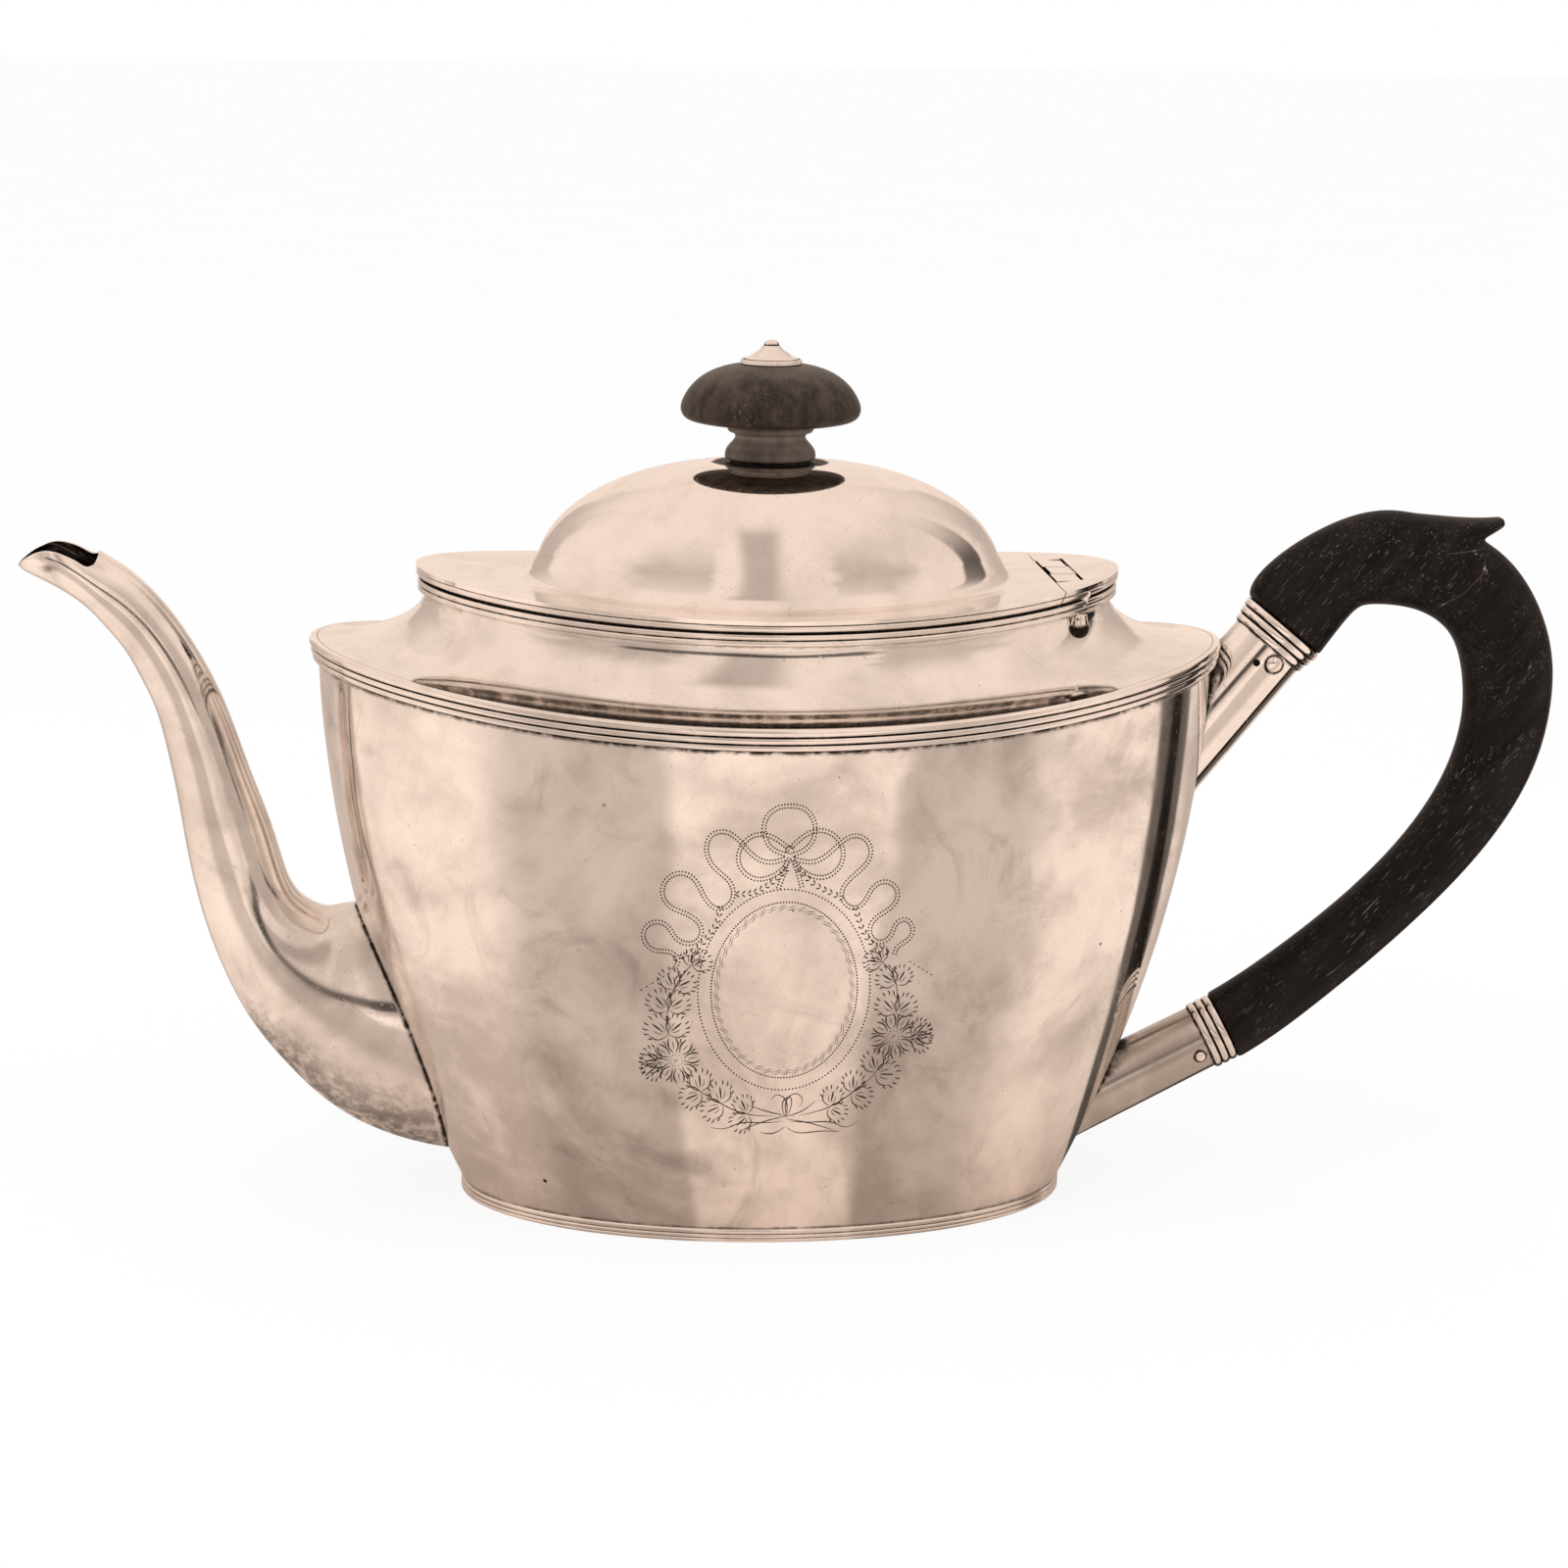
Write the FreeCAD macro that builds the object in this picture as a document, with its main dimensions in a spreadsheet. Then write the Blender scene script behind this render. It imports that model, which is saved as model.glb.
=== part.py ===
import FreeCAD, Part
import math
import os
import Sketcher
from types import SimpleNamespace

# An oval silver teapot with a hinged lid, a swan-neck spout and a pinned wooden handle.
# X runs along the pot with the handle at +X, Y across it, Z up. The origin is under the base.

SIZES = {
    # pot wall and base
    "foot_half_length": 53.6,
    "foot_half_width": 34.4,
    "rim_half_length": 79.5,
    "rim_half_width": 51.0,
    "rim_height": 93.4,
    "rim_rise": 7.3,
    "wall_margin": 4.0,
    "sheet_wall": 0.7,
    "base_thickness": 0.9,
    "solder_seam": 0.05,
    "strainer_hole_radius": 1.0,
    "strainer_pitch": 5.2,
    "strainer_height": 30.0,
    # reeded wires
    "wire_back": 0.4,
    "foot_reed_radius": 0.5,
    "foot_thin_reed_radius": 0.35,
    "foot_thin_reed_step": 0.15,
    "shoulder_lip_radius": 0.75,
    "shoulder_lip_step": 0.2,
    "shoulder_reed_radius": 0.62,
    "shoulder_reed_step": 0.1,
    "shoulder_last_reed_step": -0.2,
    "rim_reed_radius": 0.58,
    "rim_reed_step": 0.25,
    "lid_reed_radius": 0.6,
    # neck and lid
    "neck_half_length": 60.7,
    "neck_half_width": 38.9,
    "neck_height": 108.0,
    "neck_rise": 3.8,
    "lid_overhang": 1.5,
    "lid_gap": 0.3,
    "dome_half_length": 41.3,
    "dome_half_width": 28.5,
    "dome_height": 22.0,
    "dome_fillet": 4.0,
    "bezel_depth": 4.0,
    "bezel_clearance": 0.4,
    # lid hinge
    "hinge_inset": 10.2,
    "knuckle_radius": 2.0,
    "knuckle_length": 8.1,
    "hinge_gap": 0.3,
    "hinge_pin_radius": 0.8,
    "hinge_pin_clearance": 0.05,
    "lug_radius": 1.8,
    # knob and finial
    "knob_seat_margin": 0.3,
    "knob_radius": 15.8,
    "knob_height": 17.2,
    "knob_foot_radius": 8.0,
    "knob_foot_height": 1.7,
    "knob_foot_hollow": 3.4,
    "knob_waist_radius": 6.2,
    "knob_waist_height": 4.4,
    "knob_bead_radius": 7.6,
    "knob_bead_lift": 0.6,
    "knob_bead_drop": 0.3,
    "knob_cap_height": 6.6,
    "knob_brim_depth": 1.9,
    "knob_brim_rise": 2.9,
    "knob_brim_curve": 2.6,
    "knob_crown_depth": 2.6,
    "knob_crown_drop": 2.7,
    "knob_side_curve": 6.4,
    "knob_crown_curve": 14.0,
    "finial_seat_margin": 0.4,
    "finial_radius": 5.4,
    "finial_edge": 0.9,
    "finial_ledge": 0.8,
    "finial_ledge_rise": 0.1,
    "finial_cone_inset": 3.2,
    "finial_cone_rise": 1.6,
    "finial_hollow": 4.0,
    "finial_tip_radius": 0.5,
    "finial_tip_drop": 0.15,
    "finial_height": 4.2,
    "milling_radius": 0.22,
    "bolt_radius": 1.5,
    "bolt_clearance": 0.1,
    "bolt_end": 1.0,
    "washer_radius": 5.5,
    "washer_thickness": 0.8,
    "nut_width": 6.4,
    "nut_thickness": 2.8,
    # spout
    "spout_root_height": 30.0,
    "spout_reach": 66.0,
    "spout_height": 117.8,
    "spout_root_width": 27.0,
    "spout_throat_width": 11.0,
    # handle sockets, each given by the middle of its outer end
    "upper_socket_out": 13.5,
    "upper_socket_up": 9.6,
    "upper_socket_angle": 50.5,
    "upper_socket_depth": 14.2,
    "upper_socket_width": 11.4,
    "upper_socket_length": 46.0,
    "upper_collar_step": 0.3,
    "upper_pin_radius": 1.5,
    "lower_socket_out": 19.0,
    "lower_socket_height": 28.8,
    "lower_socket_angle": 27.0,
    "lower_socket_depth": 11.8,
    "lower_socket_width": 9.8,
    "lower_socket_length": 38.0,
    "lower_collar_step": 0.0,
    "lower_pin_radius": 0.9,
    "socket_wall": 1.0,
    "socket_flare": 0.4,
    "collar_reed_radius": 0.75,
    "collar_sink": 0.3,
    "tenon_length": 11.0,
    "tenon_clearance": 0.1,
    "pin_setback": 6.4,
    "pin_drop": 1.8,
    "pin_proud": 0.5,
    # handle, along its middle line from the upper socket
    "handle_rise_out": 8.6,
    "handle_rise_up": 10.2,
    "handle_bend_out": 35.5,
    "handle_bend_up": 5.4,
    "handle_back_out": 41.3,
    "handle_back_down": 8.3,
    "handle_low_out": 22.9,
    "handle_low_down": 49.0,
    "handle_upper_lead": 1.3,
    "handle_lower_lead": 0.35,
    "handle_grip_depth": 16.6,
    "handle_waist_depth": 12.4,
    "handle_low_depth": 13.4,
    "handle_grip_width": 12.4,
    "spur_reach": 39.1,
    "spur_up": 19.0,
    "spur_depth": 11.2,
    "spur_width": 11.2,
}

doc = FreeCAD.newDocument("Teapot")
sheet = doc.addObject("Spreadsheet::Sheet", "Sizes")
for row, (alias, number) in enumerate(SIZES.items(), start=1):
    sheet.set(f"A{row}", alias)
    sheet.set(f"B{row}", str(number))
    sheet.setAlias(f"B{row}", alias)
doc.recompute()


class Dim:
    """A size known both as a number and as the sheet expression that gives it."""

    def __init__(self, value, text):
        self.value = value
        self.text = text

    def __float__(self):
        return self.value

    def __add__(self, other):
        other = as_dim(other)
        return Dim(self.value + other.value, f"({self.text} + {other.text})")

    def __sub__(self, other):
        other = as_dim(other)
        return Dim(self.value - other.value, f"({self.text} - {other.text})")

    def __mul__(self, other):
        other = as_dim(other)
        return Dim(self.value * other.value, f"({self.text} * {other.text})")

    def __truediv__(self, other):
        other = as_dim(other)
        return Dim(self.value / other.value, f"({self.text} / {other.text})")

    def __pow__(self, power):
        return Dim(self.value ** power, f"({self.text} ^ {power})")

    def __radd__(self, other):
        return as_dim(other) + self

    def __rsub__(self, other):
        return as_dim(other) - self

    def __rmul__(self, other):
        return as_dim(other) * self

    def __neg__(self):
        return as_dim(0) - self


def as_dim(number):
    return number if isinstance(number, Dim) else Dim(float(number), f"{float(number)}")


s = SimpleNamespace(**{name: Dim(float(sheet.get(name)), f"Sizes.{name}") for name in SIZES})
V = FreeCAD.Vector
UP = V(0, 0, 1)
ALONG_Y = FreeCAD.Rotation(V(1, 0, 0), -90)
OVAL_POINTS = 48
RING_POINTS = 24


# Shared shapes and lines of the pot

def wall_share(height):
    """How far the wall has swelled from the foot outline to the rim outline at a height."""
    top = s.rim_height + s.rim_rise + s.wall_margin
    left = 1 - (height - s.base_thickness) / (top - s.base_thickness)
    return 1 - left ** 2


def wall_half_length(height):
    return s.foot_half_length + (s.rim_half_length - s.foot_half_length) * wall_share(height)


def wall_half_width(height):
    return s.foot_half_width + (s.rim_half_width - s.foot_half_width) * wall_share(height)


def arc_radius(half_length, rise):
    """Radius of the long arc that climbs by rise at half_length from the middle."""
    return (half_length ** 2 + rise ** 2) / (2 * rise)


def lid_sag(x):
    """Climb of the boat-shaped mouth at a distance x from the middle."""
    radius = arc_radius(s.neck_half_length, s.neck_rise)
    return radius - (radius ** 2 - as_dim(x) ** 2) ** 0.5


RIM_TOP = s.rim_height + s.rim_rise
SHOULDER_HALF_WIDTH = wall_half_width(s.rim_height)
RIM_WIRE_HEIGHT = 4 * s.rim_reed_radius
LID_HALF_LENGTH = s.neck_half_length + s.lid_overhang
LID_HALF_WIDTH = s.neck_half_width + s.lid_overhang
FLANGE_UNDER = s.neck_height + s.lid_gap + 2 * s.lid_reed_radius
FLANGE_TOP = FLANGE_UNDER + s.sheet_wall
SEAT_TOP = FLANGE_TOP + s.dome_height
SEAT_RADIUS = s.knob_foot_radius + s.knob_seat_margin
BOLT_HOLE = s.bolt_radius + s.bolt_clearance
HINGE_X = LID_HALF_LENGTH - s.hinge_inset
HINGE_Z = FLANGE_TOP + lid_sag(HINGE_X) - s.knuckle_radius
LID_CUT = HINGE_X - s.knuckle_radius - s.hinge_gap
LEAF_CUT = HINGE_X + s.knuckle_radius + s.hinge_gap


def bind(thing, **sizes):
    """Ties properties of an object to the sheet; a double underscore stands for a dot."""
    for name, dim in sizes.items():
        thing.setExpression(name.replace("__", "."), as_dim(dim).text)
    return thing


def put(thing, x=0, y=0, z=0, rotation=FreeCAD.Rotation()):
    """Places an object with its position tied to the sheet."""
    thing.Placement = FreeCAD.Placement(V(x, y, z), rotation)
    return bind(thing, Placement__Base__x=x, Placement__Base__y=y, Placement__Base__z=z)


def add(kind, label, **sizes):
    return bind(doc.addObject(kind, label), **sizes)


def cut(label, base, tool):
    result = doc.addObject("Part::Cut", label)
    result.Base = base
    result.Tool = tool
    return result


def feature(label, shape):
    """A sub-part whose shape a function has worked out from the sheet's sizes."""
    thing = doc.addObject("Part::Feature", label)
    thing.Shape = shape
    thing.Placement = FreeCAD.Placement()
    return thing


def periodic(points):
    """Smooth closed curve through evenly counted points."""
    steps = [step / len(points) for step in range(len(points) + 1)]
    curve = Part.BSplineCurve()
    curve.interpolate(Points=points, PeriodicFlag=True, Parameters=steps)
    return curve


def skin(rows):
    """Smooth surface through closed rows of points, round in one direction."""
    rings = [periodic(row) for row in rows]
    along = [0.0]
    for row, following in zip(rows, rows[1:]):
        along.append(along[-1] + sum((p - q).Length for p, q in zip(row, following)) / len(row))
    columns = []
    for pole in range(1, rings[0].NbPoles + 1):
        column = Part.BSplineCurve()
        column.interpolate(Points=[curve.getPole(pole) for curve in rings], Parameters=along)
        columns.append(column)
    around, up = rings[0], columns[0]
    surface = Part.BSplineSurface()
    surface.buildFromPolesMultsKnots(
        [column.getPoles() for column in columns], around.getMultiplicities(), up.getMultiplicities(),
        around.getKnots(), up.getKnots(), True, False, around.Degree, up.Degree)
    return surface


def end_edges(surface):
    """Closed edges at the first and last row of a skin."""
    first, last = surface.bounds()[2:]
    return surface.vIso(first).toShape(), surface.vIso(last).toShape()


def flat_face(edge):
    return Part.Face(Part.Wire([edge]))


def solid_of(faces):
    """Solid inside faces that meet edge to edge, turned outward."""
    shell = Part.Shell(faces)
    shell.sewShape()
    solid = Part.Solid(shell)
    if solid.Volume < 0:
        solid.reverse()
    return solid


def lofted(rows):
    """Smooth solid through closed rows of points, flat at both ends."""
    surface = skin(rows)
    return solid_of([surface.toShape()] + [flat_face(edge) for edge in end_edges(surface)])


def sheet_solid(outer_rows, inner_rows, flat_top):
    """Solid between two skins; a flat top closes both skins, otherwise an edge joins them."""
    outer, inner = skin(outer_rows), skin(inner_rows)
    (outer_first, outer_last), (inner_first, inner_last) = end_edges(outer), end_edges(inner)
    faces = [outer.toShape(), inner.toShape(), Part.makeRuledSurface(outer_first, inner_first)]
    if flat_top:
        faces += [flat_face(outer_last), flat_face(inner_last)]
    else:
        faces.append(Part.makeRuledSurface(outer_last, inner_last))
    return solid_of(faces)


def oval(half_length, half_width, side_height, end_height):
    """Points of an oval line whose ends lie higher than its sides, as on a boat."""
    a, b, low, rise = (float(n) for n in (half_length, half_width, side_height, end_height - side_height))
    radius = arc_radius(a, rise) if rise else 0
    points = []
    for step in range(OVAL_POINTS):
        turn = 2 * math.pi * step / OVAL_POINTS
        x = a * math.cos(turn)
        climb = radius - math.sqrt(radius ** 2 - x ** 2) if rise else 0
        points.append(V(x, b * math.sin(turn), low + climb))
    return points


def ring(middle, across, half_depth, half_width):
    """Points of an oval line round a point, deep along across and wide along Y."""
    points = []
    for step in range(RING_POINTS):
        turn = 2 * math.pi * step / RING_POINTS
        deep = across * (half_depth * math.cos(turn))
        points.append(middle + deep + V(0, half_width * math.sin(turn), 0))
    return points


def inset(points, distance, first, last):
    """Line of sheet metal's inner face; first and last are the directions at its two ends."""
    moved = []
    for index, (radius, height) in enumerate(points):
        if index == 0:
            dx, dz = first
        elif index == len(points) - 1:
            dx, dz = last
        else:
            dx = points[index + 1][0] - points[index - 1][0]
            dz = points[index + 1][1] - points[index - 1][1]
        length = math.hypot(dx, dz)
        moved.append((radius - distance * dz / length, height + distance * dx / length))
    return moved


def ovals(end_line, side_line):
    """One oval for each pair of points on the end and side profiles."""
    return [oval(a, b, low, high) for (a, high), (b, low) in zip(end_line, side_line)]


def reed_outline(back, top, reeds, base=0.0):
    """Upright outline of a wire: flat back, one half-round per reed from the top down."""
    depth = float(s.wire_back)
    height = top
    corners = [V(back, 0, top)]
    edges = []
    for radius, stand_off in reeds:
        start = V(back + depth + stand_off, 0, height)
        end = V(back + depth + stand_off, 0, height - 2 * radius)
        if (corners[-1] - start).Length > 1e-6:
            edges.append(Part.LineSegment(corners[-1], start).toShape())
        edges.append(Part.Arc(start, start + V(radius, 0, -radius), end).toShape())
        corners.append(end)
        height -= 2 * radius
    foot = V(back, 0, height - base)
    if base:
        edges.append(Part.LineSegment(corners[-1], corners[-1] - V(0, 0, base)).toShape())
        corners.append(corners[-1] - V(0, 0, base))
    edges.append(Part.LineSegment(corners[-1], foot).toShape())
    edges.append(Part.LineSegment(foot, corners[0]).toShape())
    return Part.Wire(edges)


def swept(spine, outline):
    """Outline carried round a closed line without leaning."""
    pipe = Part.BRepOffsetAPI.MakePipeShell(spine)
    pipe.setBiNormalMode(UP)
    pipe.add(outline, False, False)
    pipe.build()
    pipe.makeSolid()
    return pipe.shape()


def wire(half_length, half_width, side_top, end_top, reeds, base=0.0):
    """Reeded wire round an oval, from its top edge down."""
    spine = Part.Wire([periodic(oval(half_length, half_width, side_top, end_top)).toShape()])
    return swept(spine, reed_outline(float(half_length), float(end_top), reeds, base))


def box(x_from, x_to, y_half, z_from, z_to):
    corner = V(x_from, -y_half, z_from)
    return Part.makeBox(x_to - x_from, 2 * y_half, z_to - z_from, corner)


# Pot wall, base and foot

WALL_STATIONS = (0.0, 0.1, 0.22, 0.36, 0.52, 0.7, 0.86, 1.0)


def wall_loft(label, inward):
    """Solid inside the wall's outer face, moved in by a distance."""
    height = s.rim_height + s.rim_rise + s.wall_margin - s.base_thickness
    sections = []
    for index, share in enumerate(WALL_STATIONS):
        level = s.base_thickness + height * share
        section = add("Part::Ellipse", f"{label}_{index}",
                      MajorRadius=wall_half_length(level) - inward,
                      MinorRadius=wall_half_width(level) - inward)
        sections.append(put(section, z=level))
    loft = doc.addObject("Part::Loft", label)
    loft.Sections = sections
    loft.Solid = True
    return loft


def strainer_holes():
    """Round holes in a honeycomb, drilled along X through the wall behind the spout."""
    holes = []
    row_pitch = s.strainer_pitch * math.sqrt(0.75)
    for row, count in zip((-2, -1, 0, 1, 2), (3, 4, 5, 4, 3)):
        for place in range(count):
            hole = add("Part::Cylinder", f"strainer_{row}_{place}", Radius=s.strainer_hole_radius,
                       Height=s.rim_half_length)
            put(hole, x=-s.foot_half_length / 2, y=s.strainer_pitch * (place - (count - 1) / 2),
                z=s.strainer_height + row_pitch * row, rotation=FreeCAD.Rotation(V(0, 1, 0), -90))
            holes.append(hole)
    group = doc.addObject("Part::Compound", "strainer_drills")
    group.Links = holes
    return group


wall_outer = wall_loft("wall_outer", 0)
wall_inner = wall_loft("wall_inner", s.sheet_wall)
boat_radius = arc_radius(s.rim_half_length, s.rim_rise)
boat_cut = add("Part::Cylinder", "boat_cut", Radius=boat_radius, Height=4 * s.rim_half_width)
put(boat_cut, y=-2 * s.rim_half_width, z=s.rim_height + boat_radius, rotation=ALONG_Y)
wall_shell = cut("wall_shell", wall_outer, wall_inner)
wall_trimmed = cut("wall_trimmed", wall_shell, boat_cut)
body_wall = cut("body_wall", wall_trimmed, strainer_holes())

base_oval = add("Part::Ellipse", "base_oval", MajorRadius=s.foot_half_length, MinorRadius=s.foot_half_width)
base_plate = add("Part::Extrusion", "base_plate", LengthFwd=s.base_thickness)
base_plate.Base = base_oval
base_plate.Dir = UP
base_plate.Solid = True

foot_thin_reed = (float(s.foot_thin_reed_radius), float(s.foot_thin_reed_step))
foot_reeds = [(float(s.foot_reed_radius), 0.0), foot_thin_reed, foot_thin_reed]
foot_top = 2 * float(s.foot_reed_radius) + 4 * float(s.foot_thin_reed_radius)
foot_wire = feature("foot_wire", wire(s.foot_half_length + s.solder_seam, s.foot_half_width + s.solder_seam,
                                      foot_top, foot_top, foot_reeds))
foot_reeding = cut("foot_reeding", foot_wire, wall_outer)


# Shoulder and neck

CAVETTO_STEPS = 7


def shoulder_lines():
    """End and side profiles of the hollow shoulder, from its edge up to the mouth."""
    lines = []
    for edge, neck, low, high in (
            (s.rim_half_length, s.neck_half_length, RIM_TOP, s.neck_height + s.neck_rise),
            (SHOULDER_HALF_WIDTH, s.neck_half_width, s.rim_height, s.neck_height)):
        start = float(low + s.sheet_wall + s.solder_seam)
        climb = float(high - RIM_WIRE_HEIGHT) - start
        run = float(edge - neck)
        line = []
        for step in range(CAVETTO_STEPS):
            turn = math.radians(90 * step / (CAVETTO_STEPS - 1))
            line.append((float(edge) - run * math.sin(turn), start + climb * (1 - math.cos(turn))))
        line.append((float(neck), float(high)))
        lines.append(line)
    return lines


def knuckle_notch(clearance):
    """Round bar along the hinge, that clears room for the knuckles."""
    reach = float(s.neck_half_width)
    start = V(HINGE_X, -reach, HINGE_Z)
    return Part.makeCylinder(float(s.knuckle_radius) + clearance, 2 * reach, start, V(0, 1, 0))


end_line, side_line = shoulder_lines()
inner_end = inset(end_line, float(s.sheet_wall), (-1, 0), (0, 1))
inner_side = inset(side_line, float(s.sheet_wall), (-1, 0), (0, 1))
shoulder = sheet_solid(ovals(end_line, side_line), ovals(inner_end, inner_side), False)
notch = knuckle_notch(float(s.solder_seam))
shoulder_panel = feature("shoulder_panel", shoulder.cut(notch))

shoulder_reeds = [(float(s.shoulder_lip_radius), float(s.shoulder_lip_step)),
                  (float(s.shoulder_reed_radius), float(s.shoulder_reed_step)),
                  (float(s.shoulder_reed_radius), float(s.shoulder_last_reed_step))]
edge_lift = s.sheet_wall + s.solder_seam
shoulder_back = 2 * s.solder_seam
shoulder_reeding = feature("shoulder_reeding", wire(
    s.rim_half_length + shoulder_back, SHOULDER_HALF_WIDTH + shoulder_back,
    s.rim_height + edge_lift, RIM_TOP + edge_lift, shoulder_reeds))

rim_wire = wire(s.neck_half_length + s.solder_seam, s.neck_half_width + s.solder_seam, s.neck_height,
                s.neck_height + s.neck_rise, 2 * [(float(s.rim_reed_radius), float(s.rim_reed_step))])
rim_reeding = feature("rim_reeding", rim_wire.cut(notch))


# Lid

FILLET_TURNS = (0, 25, 50, 75)
DOME_TURNS = (14, 24, 35, 46, 58, 70, 80, 90)


def lid_lines():
    """End and side profiles of the lid's upper face, from its edge to the knob's seat."""
    lines = []
    for edge, dome, sagging in (
            (LID_HALF_LENGTH, s.dome_half_length, True),
            (LID_HALF_WIDTH, s.dome_half_width, False)):
        fillet = float(s.dome_fillet)
        start = float(dome) + fillet
        line = []
        for reach in (float(edge), (float(edge) + start) / 2):
            line.append((reach, float(FLANGE_TOP + (lid_sag(reach) if sagging else 0))))
        foot = float(FLANGE_TOP + (lid_sag(start) if sagging else 0))
        for turn in FILLET_TURNS:
            angle = math.radians(turn)
            line.append((start - fillet * math.sin(angle), foot + fillet * (1 - math.cos(angle))))
        seat = float(SEAT_RADIUS)
        for turn in DOME_TURNS:
            angle = math.radians(turn)
            line.append((seat + (float(dome) - seat) * math.cos(angle),
                         foot + (float(SEAT_TOP) - foot) * math.sin(angle)))
        lines.append(line)
    return lines


lid_end, lid_side = lid_lines()
lid_outer = ovals(lid_end, lid_side)
lid_inner = ovals(inset(lid_end, float(s.sheet_wall), (-1, 0), (-1, 0)),
                  inset(lid_side, float(s.sheet_wall), (-1, 0), (-1, 0)))
whole_lid = sheet_solid(lid_outer, lid_inner, True)
FAR = 2 * float(s.rim_half_length)
beyond_cut = box(float(LID_CUT), FAR, FAR, 0, FAR)
before_leaf = box(-FAR, float(LEAF_CUT), FAR, 0, FAR)
bolt_drill = Part.makeCylinder(float(BOLT_HOLE), FAR, V(0, 0, float(s.neck_height)))
lid = feature("lid", whole_lid.cut(beyond_cut).cut(bolt_drill))
hinge_leaf = feature("hinge_leaf", whole_lid.cut(before_leaf))

lid_reed = [(float(s.lid_reed_radius), float(s.lid_overhang - s.lid_reed_radius - s.wire_back))]
lid_wire_top = FLANGE_UNDER - s.solder_seam
lid_wire = wire(s.neck_half_length, s.neck_half_width, lid_wire_top,
                lid_wire_top + lid_sag(LID_HALF_LENGTH), lid_reed)
leaf_wire = wire(s.neck_half_length, s.neck_half_width, lid_wire_top,
                 lid_wire_top + lid_sag(LID_HALF_LENGTH), lid_reed, float(s.lid_gap - 2 * s.solder_seam))
lid_reeding = feature("lid_reeding", lid_wire.cut(beyond_cut))
leaf_reeding = feature("leaf_reeding", leaf_wire.cut(before_leaf))


def bezel_shape():
    """Upright oval ring under the flange, open at the hinge."""
    skins = []
    for inward in (0, s.sheet_wall):
        half_length = s.neck_half_length - s.sheet_wall - s.bezel_clearance - inward
        half_width = s.neck_half_width - s.sheet_wall - s.bezel_clearance - inward
        sag = lid_sag(half_length)
        low = s.neck_height - s.bezel_depth
        high = FLANGE_UNDER - s.solder_seam
        skins.append([oval(half_length, half_width, level, level + sag) for level in (low, high)])
    opening = box(float(LID_CUT - s.sheet_wall), FAR, FAR, 0, FAR)
    return sheet_solid(skins[0], skins[1], False).cut(opening)


lid_bezel = feature("lid_bezel", bezel_shape())


# Lid hinge

def knuckle(label, start, length, web_side):
    """Tube along the hinge with a flat web toward its leaf; web_side is +1 for the pot, -1 for the lid."""
    tube = put(add("Part::Cylinder", f"{label}_tube", Radius=s.knuckle_radius, Height=length),
               x=HINGE_X, y=start, z=HINGE_Z, rotation=ALONG_Y)
    cut_at = LEAF_CUT if web_side > 0 else LID_CUT
    top = FLANGE_TOP + lid_sag(LID_CUT)
    web = add("Part::Box", f"{label}_web", Length=s.knuckle_radius + s.hinge_gap, Width=length,
              Height=top - HINGE_Z - s.knuckle_radius / 2)
    put(web, x=HINGE_X if web_side > 0 else cut_at, y=start, z=HINGE_Z + s.knuckle_radius / 2)
    joined = doc.addObject("Part::Fuse", f"{label}_joined")
    joined.Base = tube
    joined.Tool = web
    bore = put(add("Part::Cylinder", f"{label}_bore", Height=length,
                   Radius=s.hinge_pin_radius + s.hinge_pin_clearance),
               x=HINGE_X, y=start, z=HINGE_Z, rotation=ALONG_Y)
    return cut(f"{label}_bored", joined, bore)


lid_outline_oval = put(add("Part::Ellipse", "lid_outline_oval", MajorRadius=LID_HALF_LENGTH,
                           MinorRadius=LID_HALF_WIDTH), z=s.rim_height)
lid_outline = add("Part::Extrusion", "lid_outline", LengthFwd=s.neck_height)
lid_outline.Base = lid_outline_oval
lid_outline.Dir = UP
lid_outline.Solid = True


def within_lid_outline(label, thing):
    """Part of a thing that stays inside the lid's edge seen from above."""
    common = doc.addObject("Part::Common", label)
    common.Base = thing
    common.Tool = lid_outline
    return common


half_middle = s.knuckle_length / 2
lid_start = half_middle + s.hinge_gap
outer_start = lid_start + s.knuckle_length + s.hinge_gap
outer_length = s.neck_half_width - outer_start
pot_knuckles = doc.addObject("Part::Compound", "pot_knuckles")
pot_knuckles.Links = [
    knuckle("middle_knuckle", -half_middle, s.knuckle_length, 1),
    within_lid_outline("front_knuckle", knuckle("front", -s.neck_half_width, outer_length, 1)),
    within_lid_outline("back_knuckle", knuckle("back", outer_start, outer_length, 1)),
]
lid_knuckles = doc.addObject("Part::Compound", "lid_knuckles")
lid_knuckles.Links = [
    knuckle("lid_front", -lid_start - s.knuckle_length, s.knuckle_length, -1),
    knuckle("lid_back", lid_start, s.knuckle_length, -1),
]
pin_half = LID_HALF_WIDTH * (1 - (HINGE_X / LID_HALF_LENGTH) ** 2) ** 0.5
hinge_pin = put(add("Part::Cylinder", "hinge_pin", Radius=s.hinge_pin_radius, Height=2 * pin_half),
                x=HINGE_X, y=-pin_half, z=HINGE_Z, rotation=ALONG_Y)


def hinge_lug():
    """Rounded button on the neck below the rim wire, at the front end of the hinge."""
    height = s.neck_height + lid_sag(HINGE_X) - RIM_WIRE_HEIGHT - s.lug_radius - s.solder_seam
    reach = s.neck_half_width * (1 - (HINGE_X / s.neck_half_length) ** 2) ** 0.5
    middle = V(float(HINGE_X), -float(reach + s.lug_radius / 2), float(height))
    ball = Part.makeSphere(float(s.lug_radius), middle)
    return min(ball.cut(shoulder).Solids, key=lambda piece: piece.CenterOfMass.y)


front_lug = hinge_lug()
hinge_lugs = feature("hinge_lugs", Part.Compound([front_lug, front_lug.mirror(V(0, 0, 0), V(0, 1, 0))]))


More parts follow.
